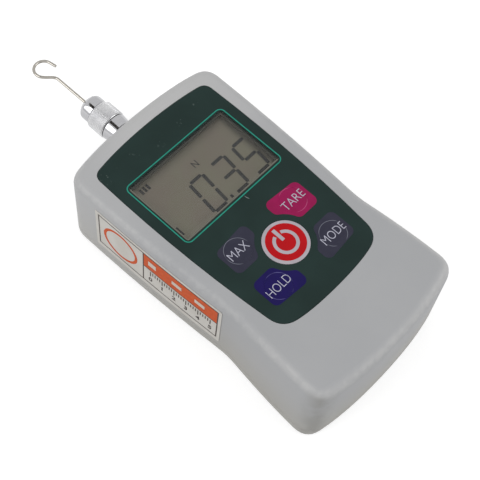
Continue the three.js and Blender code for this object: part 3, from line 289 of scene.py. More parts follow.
def along(start, axis):
    return start.node("SeparateXYZ", sockets={0: spot(start)}, output="XYZ".index(axis))


def pick(*pieces):
    """Selects these pieces alone, the first one active."""
    bpy.ops.object.select_all(action="DESELECT")
    for piece in pieces:
        piece.select_set(True)
    bpy.context.view_layer.objects.active = pieces[0]


def edit(mode):
    kinds = [mode == kind for kind in ("VERT", "EDGE", "FACE")]
    bpy.context.tool_settings.mesh_select_mode = kinds
    bpy.ops.object.mode_set(mode="EDIT")


def edit_all(mode="VERT"):
    """Enters edit mode with the whole mesh selected."""
    edit(mode)
    bpy.ops.mesh.select_all(action="SELECT")


def leave():
    bpy.ops.object.mode_set(mode="OBJECT")


def smooth(piece, angle=SMOOTH_ANGLE):
    pick(piece)
    bpy.ops.object.shade_smooth_by_angle(angle=math.radians(angle))


def settle(piece, material, body, slot, *nodes):
    """Gives a finished piece its material and body, and hides the nodes it replaces. The slot
    is not used.
    """
    piece.data.materials.clear()
    piece.data.materials.append(material)
    if nodes:
        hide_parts(*nodes)
    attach(piece, body)
    return piece


def twin(node, name, material):
    """A merged and smoothly shaded copy of a CAD node, which it stands for."""
    source = frame["nodes"][node]
    piece = bpy.data.objects.new(name, source.data.copy())
    bpy.context.scene.collection.objects.link(piece)
    pick(piece)
    bpy.ops.mesh.customdata_custom_splitnormals_clear()
    edit_all()
    bpy.ops.mesh.remove_doubles(threshold=MERGE_DISTANCE)
    leave()
    smooth(piece)
    return settle(piece, material, source["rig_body"], slot_of[node], node)


case_plastic, start = finish("grey case plastic", Specular_IOR_Level=0.3)
patches = noise(start, BLOTCH_SCALE, 3).band(0.35, 0.75)
facing = along(start, "Z").band(*BACK_TO_FRONT_Z)
grey = facing.mixed(paint(*CASE_WARM), paint(*CASE_GREY))
grain = noise(start, GRAIN_SCALE)
rim = start.node("Attribute", {"attribute_name": RIM_WEAR_AND_HIGHLIGHT}, output=2)
hook_end = along(start, "Y").band(*HOOK_END_Y)
upper = along(start, "Z").band(*UPPER_Z) * along(start, "X").band(*HOOK_END_X)
right_side = along(start, "X").band(*RIGHT_X)
ends = along(start, "Y").math("ABSOLUTE").band(*WAIST_Y)
scuffs = noise(start, SCUFF_SCALE, 4).band(0.4, 0.62)
# Paler where the rims are rubbed in patches and scuffs, plus a painted highlight on the rims
# toward the right and the ends, and over the whole hook end.
wear_and_highlight = rim * (patches * 0.25 + scuffs * 0.3 + right_side * 0.4 + ends * 0.45)
wear_and_highlight = wear_and_highlight.math("MAXIMUM", patches * 0.15 + hook_end * (upper * 0.5 + 0.4))
left_corner = 1 - along(start, "X").band(*CORNER_X)
tail_corner = left_corner * (1 - along(start, "Y").band(*CORNER_Y))
below_front = 1 - along(start, "Z").band(*FRONT_Z)
# One tail corner is darker in noisy patches below the front.
corner_darkening = tail_corner * below_front * noise(start, SOIL_SCALE, 3).band(0.25, 0.6)
grey_with_wear_and_highlight = wear_and_highlight.mixed(grey, paint(*CASE_WORN_AND_HIGHLIGHT))
(corner_darkening * 0.75).mixed(grey_with_wear_and_highlight, paint(*CASE_CORNER_DARK)).to("Base Color")
(0.52 + grain * 0.06 - wear_and_highlight * 0.1).to("Roughness")
bump(grain, GRAIN_DEPTH, 0.6)

for node, name in (
    ("front_shell", "front_moulding"),
    ("rear_shell", "rear_moulding"),
    ("battery_door", "door_moulding"),
):
    shell = twin(node, name, case_plastic)
    tilts = [1.0] * len(shell.data.vertices)
    # The rim mask is strongest on faces sloping at half a right angle; the rims' wear and
    # their painted highlight both follow it.
    for face in shell.data.polygons:
        tilt = RIM_GAIN * face.normal.z**2 * (1 - face.normal.z**2)
        for i in face.vertices:
            tilts[i] = min(tilts[i], tilt)
    worn = shell.data.attributes.new(RIM_WEAR_AND_HIGHLIGHT, "FLOAT", "POINT")
    worn.data.foreach_set("value", tilts)

# Keypad film
# One polyester film, printed dark green on its underside, covers the front
# around the display. It is fine grained, with a dark cut edge, and its hook end
# has specks of wear. A thin turquoise line is printed around the display.
FILM_GLOSS = 0.15
FILM_GREEN = ((26, 43, 40), (31, 49, 46))
FILM_SPECK = (86, 98, 94)
FILM_GRAIN = 3400
FILM_GRAIN_DEPTH = 0.006 * MM
SPECKS_Y = (40 * MM, 50 * MM)
LINE_TURQUOISE = ((36, 140, 120), (44, 150, 130))
LINE_WIDTH = 0.38 * MM
LINE_RADIUS = 2.2 * MM
LINE_STEPS = 8
LINE_OUTER = (46 * MM, 29.4 * MM)
PRINT_DEPTH = 0.03 * MM

film_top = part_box("overlay_panel")[1].z
display_low, display_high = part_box("display_window")
display_x = (display_low.x + display_high.x) / 2
display_y = (display_low.y + display_high.y) / 2


def mottled(cloud, colours):
    """Two close colours, mixed in the soft patches of a noise."""
    return cloud.band(0.3, 0.7).mixed(*(paint(*colour) for colour in colours))


def plate(name, width, height, thickness, radius, corner_steps, x=0.0, y=0.0, z=0.0):
    """A rounded plate that lies flat, its underside at z."""
    bpy.ops.object.select_all(action="DESELECT")
    bpy.ops.mesh.primitive_plane_add(size=1)
    piece = bpy.context.object
    piece.name = name
    edit_all()
    bpy.ops.transform.resize(value=(width, height, 1))
    if radius:
        bpy.ops.mesh.bevel(offset=radius, segments=corner_steps, affect="VERTICES")
        bpy.ops.mesh.select_all(action="SELECT")
    bpy.ops.mesh.extrude_region_move(TRANSFORM_OT_translate={"value": (0, 0, thickness)})
    bpy.ops.mesh.select_all(action="SELECT")
    bpy.ops.transform.translate(value=(x, y, z))
    bpy.ops.mesh.normals_make_consistent(inside=False)
    leave()
    return piece


def shift(piece, x, y, z):
    pick(piece)
    edit_all()
    bpy.ops.transform.translate(value=(x, y, z))
    leave()
    return piece


def cut(piece, tool, operation="DIFFERENCE"):
    """Takes a tool's shape out of a piece, and removes the tool."""
    pick(piece)
    hole = piece.modifiers.new("cut", "BOOLEAN")
    hole.operation = operation
    hole.object = tool
    hole.solver = "EXACT"
    bpy.ops.object.modifier_apply(modifier="cut")
    bpy.data.objects.remove(tool)
    return piece


keypad_film, start = finish("green keypad film", Specular_IOR_Level=FILM_GLOSS)
cloud = noise(start, 60, 3)
green = mottled(cloud, FILM_GREEN)
specks = noise(start, 1100).band(0.64, 0.7) * noise(start, 110).band(0.5, 0.6)
specks = specks * along(start, "Y").band(*SPECKS_Y)
(specks * 0.85).mixed(green, paint(*FILM_SPECK)).to("Base Color")
(0.42 + cloud * 0.1 + specks * 0.2).to("Roughness")
bump(noise(start, FILM_GRAIN, 1), FILM_GRAIN_DEPTH, 0.5)
twin("overlay_panel", "keypad_film", keypad_film)

line_print, start = finish("turquoise print", Roughness=0.5, Specular_IOR_Level=FILM_GLOSS)
mottled(noise(start, 400), LINE_TURQUOISE).to("Base Color")
frame_line = plate("display_line", *LINE_OUTER, PRINT_DEPTH, LINE_RADIUS, LINE_STEPS)
inside = plate(
    "inside",
    LINE_OUTER[0] - 2 * LINE_WIDTH,
    LINE_OUTER[1] - 2 * LINE_WIDTH,
    3 * PRINT_DEPTH,
    LINE_RADIUS - LINE_WIDTH,
    LINE_STEPS,
    z=-PRINT_DEPTH,
)
cut(frame_line, inside)
shift(frame_line, display_x, display_y, film_top)
settle(frame_line, line_print, "case", "overlay_film")

# Scratch
# A short pale scratch in the film below the display, left by a sharp tip. The
# plastic beside it is raised a little.
SCRATCH = (
    (3.0, -15.0),
    (3.15, -15.0),
    (3.3, -15.9),
    (3.6, -16.9),
    (3.35, -16.8),
    (3.05, -15.9),
)
SCRATCH_PALE = ((128, 138, 134), (96, 108, 104))


def sheet(name, outline, thickness, x, y, z):
    """A flat sheet of any outline, made from a circle with a point for each."""
    bpy.ops.object.select_all(action="DESELECT")
    bpy.ops.mesh.primitive_circle_add(vertices=len(outline), fill_type="NGON")
    piece = bpy.context.object
    piece.name = name
    for vertex, point in zip(piece.data.vertices, outline):
        vertex.co = (x + point[0], y + point[1], z)
    edit_all("FACE")
    bpy.ops.mesh.extrude_region_move(TRANSFORM_OT_translate={"value": (0, 0, thickness)})
    bpy.ops.mesh.select_all(action="SELECT")
    bpy.ops.mesh.normals_make_consistent(inside=False)
    leave()
    return piece


scratch_mark, start = finish("pale scratch", Roughness=0.6, Specular_IOR_Level=FILM_GLOSS)
mottled(noise(start, 900), SCRATCH_PALE).to("Base Color")
outline = [(x * MM, y * MM) for x, y in SCRATCH]
scratch = sheet("film_scratch", outline, PRINT_DEPTH, display_x, display_y, film_top)
settle(scratch, scratch_mark, "case", "overlay_film")

# Keys
# Each key is the film itself, domed over a cap that presses a switch. The small
# ones have a printed patch, a faint pale ring round the cap that is a painted
# highlight of its embossed edge, and a pale word whose ends reach past the cap.
# The power key is a red disc in a pale ring, with its sign.
PATCH_X = (4.9 * MM, 19.4 * MM)
PATCH_Y = (2.5 * MM, 13.5 * MM, 14.3 * MM)
PATCH_CORNER = 2.2 * MM
PATCH_HOLLOW = 10.3 * MM
PATCH_DEPTH = 0.04 * MM
CAP_DEPTH = 0.6 * MM
DOME_STEPS = ((0.22 * MM, 0.05 * MM), (0.35 * MM, 0.05 * MM), (0.9 * MM, 0.04 * MM))
CAP_SIDES = 64
PRINT_SIDES = 96
RING_WIDTH = 0.2 * MM
WORD_HEIGHT = 3.1 * MM
WORD_THIN = 0.012
WORD_STEPS = 4
WORD_PRINT = ((186, 186, 200), (176, 176, 190))
RED_RADIUS = 6.83 * MM
STANDBY_OUTER = 4.48 * MM
STANDBY_INNER = 3.3 * MM
STANDBY_OPEN = 40
STANDBY_STEPS = 48
STANDBY_BAR = (1.28 * MM, 4.9 * MM)
STANDBY_BAR_CORNER = 0.12 * MM
STANDBY_BAR_STEPS = 3
STANDBY_BAR_MIDDLE = 3.45 * MM
POWER_PALE = ((178, 171, 178), (170, 164, 171))
POWER_RED = ((176, 8, 18), (184, 10, 20))
# Each key's word and the word's width in mm, the side and end of the film that
# the key is on, the two close colours of its patch, and that of the pale ring
# painted round it as a highlight.
KEYS = {
    "tare": ("TARE", 9.4, 1, 1, ((142, 18, 74), (150, 20, 80)), (186, 80, 126)),
    "max": ("MAX", 8.0, -1, 1, ((47, 47, 62), (51, 51, 66)), (110, 112, 124)),
    "mode": ("MODE", 9.9, 1, -1, ((47, 47, 62), (51, 51, 66)), (110, 112, 124)),
    "hold": ("HOLD", 9.6, -1, -1, ((20, 10, 76), (24, 12, 82)), (108, 104, 158)),
}

key_low, key_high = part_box("key_power")
power_x = (key_low.x + key_high.x) / 2
power_y = (key_low.y + key_high.y) / 2


def key_finish(name, colours):
    """Printed film of one colour, a little uneven, with the film's grain."""
    material, start = finish(name, Specular_IOR_Level=FILM_GLOSS)
    cloud = noise(start, 260, 3)
    mottled(cloud, colours).to("Base Color")
    (0.36 + cloud * 0.12).to("Roughness")
    bump(noise(start, FILM_GRAIN, 1), FILM_GRAIN_DEPTH, 0.5)
    return material


def lettering(name, words, height, thickness, width=None, thin=0.0):
    """Words as a flat mesh of the given height, centred on the origin."""
    bpy.ops.object.select_all(action="DESELECT")
    bpy.ops.object.text_add()
    piece = bpy.context.object
    piece.name = name
    piece.data.body = words
    piece.data.extrude = thickness / 2
    piece.data.offset = -thin
    piece.data.resolution_u = WORD_STEPS
    bpy.ops.object.convert(target="MESH")
    low = [min(v.co[i] for v in piece.data.vertices) for i in range(3)]
    high = [max(v.co[i] for v in piece.data.vertices) for i in range(3)]
    grow = height / (high[1] - low[1])
    widen = grow if width is None else width / (high[0] - low[0])
    edit_all()
    bpy.ops.mesh.remove_doubles(threshold=MERGE_DISTANCE)
    centre = [(a + b) / 2 for a, b in zip(low, high)]
    bpy.ops.transform.translate(value=(-centre[0], -centre[1], thickness / 2))
    bpy.ops.transform.resize(value=(widen, grow, 1), center_override=(0, 0, 0))
    leave()
    return piece


def join(*pieces):
    pick(*pieces)
    bpy.ops.object.join()
    return pieces[0]


def arc(x, y, radius, first, last, steps=8):
    """Points from one angle to another round a centre."""
    turns = [math.radians(first + (last - first) * i / steps) for i in range(steps + 1)]
    return [(x + radius * math.cos(turn), y + radius * math.sin(turn)) for turn in turns]


def disc(name, radius, thickness, sides, x, y, z):
    """A flat round plate, its underside at z."""
    bpy.ops.object.select_all(action="DESELECT")
    bpy.ops.mesh.primitive_cylinder_add(vertices=sides, radius=radius, depth=thickness)
    piece = bpy.context.object
    piece.name = name
    return shift(piece, x, y, z + thickness / 2)


def dome(name, radius, x, y, top):
    """A low round cap, its edge level with the patch and its top a little crowned."""
    cap = disc(name, radius, CAP_DEPTH, CAP_SIDES, x, y, top - CAP_DEPTH)
    for part in (cap.data.vertices, cap.data.edges, cap.data.polygons):
        part.foreach_set("select", [False] * len(part))
    for face in cap.data.polygons:
        face.select = face.normal.z > 0.9
    edit("FACE")
    for margin, rise in DOME_STEPS:
        bpy.ops.mesh.inset(thickness=margin)
        bpy.ops.transform.translate(value=(0, 0, rise))
    leave()
    smooth(cap)
    return cap


def patch_outline(side, end):
    """A rounded oblong with a hollow that follows the power key."""
    low_x, high_x = PATCH_X
    low_y, high_y, inner_high_y = PATCH_Y
    c = PATCH_CORNER
    reach = PATCH_HOLLOW + c
    near_y = math.sqrt(reach**2 - (low_x + c) ** 2)
    near_x = math.sqrt(reach**2 - (low_y + c) ** 2)
    first = math.degrees(math.atan2(low_y + c, near_x))
    last = math.degrees(math.atan2(near_y, low_x + c))
    points = arc(low_x + c, near_y, c, last + 180, 180)
    points += arc(low_x + c, inner_high_y - c, c, 180, 90)
    points += arc(high_x - c, high_y - c, c, 90, 0)
    points += arc(high_x - c, low_y + c, c, 0, -90)
    points += arc(near_x, low_y + c, c, -90, first - 180)
    points += arc(0, 0, PATCH_HOLLOW, first, last, 12)[1:-1]
    return [(side * x, end * y) for x, y in points]


word_print, start = finish("pale key print", Roughness=0.45, Specular_IOR_Level=FILM_GLOSS)
mottled(noise(start, 700), WORD_PRINT).to("Base Color")
cap_rise = sum(rise for margin, rise in DOME_STEPS)
cap_edge = film_top + PATCH_DEPTH

for key, (word, wide, side, end, colours, ring_highlight_colour) in KEYS.items():
    node = "key_" + key
    low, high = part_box(node)
    key_x, key_y = (low.x + high.x) / 2, (low.y + high.y) / 2
    radius = (high.x - low.x) / 2
    film = key_finish(key + " key film", colours)
    outline = patch_outline(side, end)
    patch = sheet("patch_" + key, outline, PATCH_DEPTH, power_x, power_y, film_top)
    depth, below = 3 * PATCH_DEPTH, film_top - PATCH_DEPTH
    cut(patch, disc("hole", radius + PATCH_DEPTH, depth, CAP_SIDES, key_x, key_y, below))
    settle(patch, film, "case", slot_of[node])
    cap = dome("cap_" + key, radius, key_x, key_y, cap_edge)
    settle(cap, film, node + "_body", slot_of[node], node)
    # The pale ring round the cap is a painted highlight of the embossed edge.
    ring_highlight_finish, start = finish(key + " ring", Roughness=0.45, Specular_IOR_Level=FILM_GLOSS)
    faint = noise(start, 160, 1).band(0.42, 0.58)
    faint.mixed(paint(*ring_highlight_colour), paint(*colours[1])).to("Base Color")
    inner, outer = radius + PATCH_DEPTH / 2, radius + PATCH_DEPTH / 2 + RING_WIDTH
    ring_highlight = disc("ring_" + key, outer, PATCH_DEPTH, CAP_SIDES, key_x, key_y, cap_edge)
    cut(ring_highlight, disc("inner", inner, depth, CAP_SIDES, key_x, key_y, cap_edge - PATCH_DEPTH))
    settle(ring_highlight, ring_highlight_finish, "case", slot_of[node])
    for name, operation, margin, depth, rise, body in (
        ("word_", "INTERSECT", -PATCH_DEPTH, PRINT_DEPTH, cap_rise, node + "_body"),
        ("word_ends_", "DIFFERENCE", PATCH_DEPTH, PATCH_DEPTH + PRINT_DEPTH, 0, "case"),
    ):
        z = cap_edge + rise
        legend = lettering(name + key, word, WORD_HEIGHT, depth, wide * MM, WORD_THIN)
        shift(legend, key_x, key_y, z)
        reach, below = radius + margin, z - depth
        tool = disc("cap_edge", reach, 3 * depth, PRINT_SIDES, key_x, key_y, below)
        cut(legend, tool, operation)
        if legend.data.polygons:
            settle(legend, word_print, body, slot_of[node])
        else:
            bpy.data.objects.remove(legend)

power_pale, start = finish("pale power print", Specular_IOR_Level=0.25)
cloud = noise(start, 300)
mottled(cloud, POWER_PALE).to("Base Color")
(0.38 + cloud * 0.1).to("Roughness")
power_radius = (key_high.x - key_low.x) / 2
power_cap = dome("cap_power", power_radius, power_x, power_y, cap_edge)
settle(power_cap, power_pale, "key_power_body", "key_red", "key_power")
power_top = cap_edge + cap_rise
power_red = key_finish("red power film", POWER_RED)
red_disc = disc(
    "power_disc", RED_RADIUS, PRINT_DEPTH, PRINT_SIDES, power_x, power_y, power_top
)
settle(red_disc, power_red, "key_power_body", "key_red")

first, last = 90 + STANDBY_OPEN / 2, 450 - STANDBY_OPEN / 2
loop = arc(0, 0, STANDBY_OUTER, first, last, STANDBY_STEPS)
loop += arc(0, 0, STANDBY_INNER, last, first, STANDBY_STEPS)
sign_top = power_top + PRINT_DEPTH
standby = sheet("standby_ring", loop, PRINT_DEPTH, power_x, power_y, sign_top)
bar = plate("bar", *STANDBY_BAR, PRINT_DEPTH, STANDBY_BAR_CORNER, STANDBY_BAR_STEPS)
shift(bar, power_x, power_y + STANDBY_BAR_MIDDLE, sign_top)
join(standby, bar)
settle(standby, power_pale, "key_power_body", "key_red")

# Display
# A liquid crystal panel lies under a clear window with a border printed on it,
# dark on the right and top, partly print and partly painted shade, and pale on
# the left and bottom as painted light. A gasket, its darker tone a painted shade
# on its walls, stands round the panel, and a thin seal round the window. The
# dark figures show against a grey brown reflector with painted shade along its
# right and top edges and painted light along its left and bottom edges.
PANEL_GREY = (120, 117, 103)
PANEL_WARM = (120, 113, 103)
PANEL_SHADE_COLOUR = (96, 93, 86)
PANEL_LIGHT_COLOUR = (143, 139, 126)
BORDER_PRINT_AND_SHADE = (46, 50, 47)
BORDER_INNER = (74, 74, 70)
BORDER_PAINTED_LIGHT = (132, 130, 119)
BORDER_EDGE = (60, 64, 60)
GASKET_SHADE = ((84, 82, 76), (92, 90, 84))
WINDOW_TINT = ((96, 100, 98), (110, 114, 112))
FIGURE_DARK = ((62, 61, 62), (68, 67, 66))
FIGURE_HALF = (3.0 * MM, 6.65 * MM)
FIGURE_SLANT = 6.3
BAR_LONG = 5.9 * MM
BAR_SHORT = 5.0 * MM
BAR_RAISE = 3.4 * MM
STROKE = 1.24 * MM
STROKE_CORNER = 0.3 * STROKE
STROKE_STEPS = 2
FIGURE_DEPTH = 0.04 * MM
FIGURE_MIDDLE = -5.15 * MM
FIGURES = {"0": (-3.45, "abcdef"), "3": (6.83, "abcdg"), "5": (17.1, "acdfg")}
BORDER_PRINT = 0.74 * MM
WINDOW_LEDGE = 0.6 * MM
GASKET_WALL = 0.12 * MM
SEAL_WALL = 0.11 * MM
SEAL_DEPTH = 0.4 * MM
SEAL_RADIUS = 1.2 * MM
PRINT_GAP = 0.02 * MM
LEAST_RADIUS = 0.05 * MM
FRAME_STEPS = 6
GASKET_RADIUS = 0.5 * MM
BORDER_RADIUS = 0.9 * MM
PRINT_SOFT = (0.1 * MM, 0.4 * MM)
PALE_START = (0.05 * MM, 0.1 * MM)
SIDE_SHADE = (3.2 * MM, 0.1 * MM)
TOP_SHADE = (4.2 * MM, 0.4 * MM)
PALE_REACH = 2.6 * MM
UNIT_SIZE = (2.0 * MM, 2.6 * MM)
UNIT_PLACE = (1.4 * MM, 5.75 * MM)
# The width, height and place of each plain mark, in mm from the middle.
MARKS = (
    (0.95, 1.25, 1.2, -11.4),
    (0.9, 2.3, -18.85, 10.6),
    (0.9, 2.3, -17.4, 10.6),
    (0.9, 2.3, -15.95, 10.6),
    (0.75, 3.7, -20.4, -8.5),
)

panel_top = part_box("display_panel")[1].z
window_size = [display_high[i] - display_low[i] for i in range(2)]


def frame_plate(name, size, wall, thickness, radius, z):
    """A rounded frame round the display, of the given outer size and wall."""
    outer = plate(name, *size, thickness, radius, FRAME_STEPS, display_x, display_y, z)
    hole = [side - 2 * wall for side in size]
    core, below = max(radius - wall, LEAST_RADIUS), z - thickness
    inner = plate("hole", *hole, 3 * thickness, core, FRAME_STEPS, display_x, display_y, below)
    return cut(outer, inner)


window_clear, start = finish("clear window", Roughness=0.08, Alpha=0.06)
mottled(noise(start, 90), WINDOW_TINT).to("Base Color")
twin("display_window", "window_pane", window_clear)

# The gasket is darker than the panel as painted shade on its walls.
gasket_shade_finish, start = finish("dark gasket", Roughness=0.6, Specular_IOR_Level=0.1)
mottled(noise(start, 800), GASKET_SHADE).to("Base Color")
opening = [side - 2 * WINDOW_LEDGE for side in window_size]
wall_height = display_low.z - panel_top - 2 * PRINT_GAP
wall_low = panel_top + PRINT_GAP
gasket = frame_plate(
    "display_gasket", opening, GASKET_WALL, wall_height, GASKET_RADIUS, wall_low
)
settle(gasket, gasket_shade_finish, "case", "inner_black")

panel_glass, start = finish("display reflector", Specular_IOR_Level=0.1)
half_x, half_y = (side / 2 for side in opening)
off_x = along(start, "X") - display_x
off_y = along(start, "Y") - display_y
# Painted shade along the right and top edges of the panel, and painted light along its left
# and bottom edges.
from_side = off_x.band(half_x - SIDE_SHADE[0], half_x - SIDE_SHADE[1])
from_top = off_y.band(half_y - TOP_SHADE[0], half_y - TOP_SHADE[1])
painted_shade = from_side.math("MAXIMUM", from_top * 0.5)
warm = noise(start, 70).band(0.35, 0.65).mixed(paint(*PANEL_GREY), paint(*PANEL_WARM))
painted_light = (off_x + half_x).math("MINIMUM", off_y + half_y).band(0, PALE_REACH)
painted_shade.mixed(painted_light.mixed(paint(*PANEL_LIGHT_COLOUR), warm), paint(*PANEL_SHADE_COLOUR)).to("Base Color")
(0.5 + noise(start, 300) * 0.1).to("Roughness")
twin("display_panel", "display_reflector", panel_glass)

border_print, start = finish("window border print", Roughness=0.5, Specular_IOR_Level=0.1)
off_x = along(start, "X") - display_x
off_y = along(start, "Y") - display_y
# The border is dark on the right and top, partly print and partly painted shade, and pale like
# the lit reflector on the left and bottom as painted light.
inward = window_size[0] / 2 - off_x.math("ABSOLUTE")
inward = inward.math("MINIMUM", window_size[1] / 2 - off_y.math("ABSOLUTE"))
print_and_shade_tone = inward.band(PRINT_SOFT[0], BORDER_PRINT)
print_and_shade_tone = print_and_shade_tone.mixed(paint(*BORDER_PRINT_AND_SHADE), paint(*BORDER_INNER))
painted_light_tone = inward.band(*PRINT_SOFT).mixed(paint(*BORDER_EDGE), paint(*BORDER_PAINTED_LIGHT))
hook_side = off_y.band(PALE_START[0] - half_y, PALE_START[1] - half_y)
right_side = off_x.band(PALE_START[0] - half_x, PALE_START[1] - half_x)
print_light_and_shade = right_side.math("MINIMUM", hook_side).mixed(painted_light_tone, print_and_shade_tone)
shade = noise(start, 300) * 0.1
shade.mixed(print_light_and_shade, paint(*PANEL_SHADE_COLOUR)).to("Base Color")
border_low = display_low.z + PRINT_GAP
border = frame_plate(
    "window_border", window_size, BORDER_PRINT, PRINT_DEPTH, BORDER_RADIUS, border_low
)
settle(border, border_print, "case", "inner_black")
around = [side + 2 * (SEAL_WALL + PRINT_GAP) for side in window_size]
seal = frame_plate("window_seal", around, SEAL_WALL, SEAL_DEPTH, SEAL_RADIUS, border_low)
settle(seal, border_print, "case", "inner_black")


def figure(name, middle, bars):
    """A seven bar figure, slanted as on the panel."""
    side, tall = FIGURE_HALF
    turn = math.radians(FIGURE_SLANT)
    places = {
        "a": (0, tall, False),
        "g": (0, 0, False),
        "d": (0, -tall, False),
        "f": (-side, BAR_RAISE, True),
        "b": (side, BAR_RAISE, True),
        "e": (-side, -BAR_RAISE, True),
        "c": (side, -BAR_RAISE, True),
    }
    made = []
    for bar in bars:
        x, y, upright = places[bar]
        size = (STROKE, BAR_LONG) if upright else (BAR_SHORT, STROKE)
        piece = plate(name + bar, *size, FIGURE_DEPTH, STROKE_CORNER, STROKE_STEPS)
        if upright:
            pick(piece)
            edit_all()
            bpy.ops.transform.rotate(value=turn, orient_axis="Z", center_override=(0, 0, 0))
            leave()
        made.append(shift(piece, middle + x + y * math.tan(turn), y, 0))
    return made


def block(width, height, x, y):
    """A plain mark on the panel, placed from the middle of the display."""
    return plate("block", width, height, FIGURE_DEPTH, 0, 0, x, y - FIGURE_MIDDLE)


marks = []
for digit, (middle, bars) in FIGURES.items():
    marks += figure("figure_" + digit, middle * MM, bars)
marks += [block(*(value * MM for value in mark)) for mark in MARKS]
unit = lettering("unit", "N", UNIT_SIZE[1], FIGURE_DEPTH, UNIT_SIZE[0])
marks.append(shift(unit, UNIT_PLACE[0], UNIT_PLACE[1] - FIGURE_MIDDLE, 0))
figures = join(*marks)
figures.name = "display_figures"
lcd_black, start = finish("display figures", Roughness=0.6, Specular_IOR_Level=0.1)
mottled(noise(start, 500), FIGURE_DARK).to("Base Color")
shift(figures, display_x, display_y + FIGURE_MIDDLE, panel_top + PRINT_GAP)
settle(figures, lcd_black, "case", "display_glass")

# Side sticker
# A white vinyl sticker with a printed border follows the left wall. It carries
# a plain dial mark, and a short scale with numbers under an orange bar.
STICKER_WHITE = (199, 196, 190)
STICKER_SHADE = (192, 188, 181)
STICKER_ORANGE = ((200, 80, 14), (190, 72, 12))
STICKER_BROWN = ((52, 44, 41), (76, 66, 60))
STICKER_MARKS = ((206, 196, 186), (198, 188, 178))
PRINT_LIFT = 0.015 * MM
LAYERS = {"orange": 1.5, "brown": 3.0, "white": 4.5}
BORDER_Y = (41.35 * MM, -11.4 * MM)
BORDER_Z = (29.5 * MM, 10.4 * MM)
DIVIDER_Y = 20.6 * MM
ORANGE_FLOOR = 20.9 * MM
BORDER_WIDTH = 0.44 * MM
DIAL = (31.3 * MM, 19.9 * MM)
DIAL_OUTER = 7.75 * MM
DIAL_INNER = 6.6 * MM
DIAL_SIDES = 64
SCALE_TICKS = 25
TICKS_A_NUMBER = 5
SCALE_MARGIN = 3 * MM
TICK_DROP = 1.3 * MM
TICK_WIDTH = 0.4 * MM
TICK_LONG = 3.2 * MM
TICK_SHORT = 1.9 * MM
NUMBER_HEIGHT = 2.5 * MM
NUMBER_MIDDLE = 14 * MM
NUMBER_BOLD = -0.02
STRIP_STEP = 2 * MM
OUTSIDE_X = -40 * MM
BAR_MARKS = ((16.9, 3.4, 2.8), (6.2, 4.2, 2.2), (-3.6, 4.2, 2.2))

sticker_vinyl, start = finish("white sticker", Specular_IOR_Level=0.3)
cloud = noise(start, 120, 3)
cloud.band(0.35, 0.7).mixed(paint(*STICKER_WHITE), paint(*STICKER_SHADE)).to("Base Color")
(0.4 + cloud * 0.1).to("Roughness")
sticker = twin("side_sticker", "sticker_vinyl", sticker_vinyl)


def on_side(piece, layer):
    """Stands a flat print up on the left wall and presses it to the sticker."""
    pick(piece)
    piece.matrix_world = Matrix(((0, 0, -1), (-1, 0, 0), (0, 1, 0))).to_4x4()
    bpy.ops.object.transform_apply(location=True, rotation=True, scale=True)
    shift(piece, OUTSIDE_X, 0, 0)
    press = piece.modifiers.new("press", "SHRINKWRAP")
    press.wrap_method = "PROJECT"
    press.use_project_x = True
    press.use_positive_direction = True
    press.use_negative_direction = False
    press.target = sticker
    press.offset = LAYERS[layer] * PRINT_LIFT
    bpy.ops.object.modifier_apply(modifier="press")
    body = piece.modifiers.new("body", "SOLIDIFY")
    body.thickness = PRINT_LIFT
    body.offset = 0
    bpy.ops.object.modifier_apply(modifier="body")
    return piece


def strip(name, y_range, z_range):
    """A flat strip in the sticker's own plane, cut across so that it can curve."""
    length, height = y_range[0] - y_range[1], z_range[0] - z_range[1]
    bpy.ops.object.select_all(action="DESELECT")
    cuts = [max(1, round(side / STRIP_STEP)) for side in (length, height)]
    bpy.ops.mesh.primitive_grid_add(x_subdivisions=cuts[0], y_subdivisions=cuts[1], size=1)
    piece = bpy.context.object
    piece.name = name
    edit_all()
    bpy.ops.transform.resize(value=(length, height, 1))
    middle = (-(y_range[0] + y_range[1]) / 2, (z_range[0] + z_range[1]) / 2, 0)
    bpy.ops.transform.translate(value=middle)
    leave()
    return piece


def print_finish(name, colours):
    material, start = finish(name, Roughness=0.5, Specular_IOR_Level=0.12)
    mottled(noise(start, 600), colours).to("Base Color")
    return material


brown_print = print_finish("brown sticker print", STICKER_BROWN)
orange_print = print_finish("orange sticker print", STICKER_ORANGE)
white_print = print_finish("white sticker print", STICKER_MARKS)

w = BORDER_WIDTH
inner_z = (BORDER_Z[0] - w, BORDER_Z[1] + w)
right_y = (DIVIDER_Y, BORDER_Y[1] + w)
lines = [
    strip("border", BORDER_Y, (BORDER_Z[0], BORDER_Z[0] - w)),
    strip("border_low", BORDER_Y, (BORDER_Z[1] + w, BORDER_Z[1])),
    strip("border_hook", (BORDER_Y[0], BORDER_Y[0] - w), inner_z),
    strip("border_tail", (BORDER_Y[1] + w, BORDER_Y[1]), inner_z),
    strip("divider", (DIVIDER_Y + w, DIVIDER_Y), inner_z),
    strip("rule", right_y, (ORANGE_FLOOR, ORANGE_FLOOR - w)),
]
scale_y = (DIVIDER_Y - SCALE_MARGIN, BORDER_Y[1] + SCALE_MARGIN)
tick_top = ORANGE_FLOOR - TICK_DROP
for i in range(SCALE_TICKS + 1):
    y = scale_y[0] + (scale_y[1] - scale_y[0]) * i / SCALE_TICKS
    numbered = i % TICKS_A_NUMBER == 0
    tall = TICK_LONG if numbered else TICK_SHORT
    across = (y + TICK_WIDTH / 2, y - TICK_WIDTH / 2)
    lines.append(strip("tick", across, (tick_top, tick_top - tall)))
    if numbered:
        words = str(i // TICKS_A_NUMBER)
        number = lettering("number", words, NUMBER_HEIGHT, 0, thin=NUMBER_BOLD)
        lines.append(shift(number, -y, NUMBER_MIDDLE, 0))
brown = join(*lines)
brown.name = "sticker_lines"
settle(on_side(brown, "brown"), brown_print, "case", "sticker_vinyl")

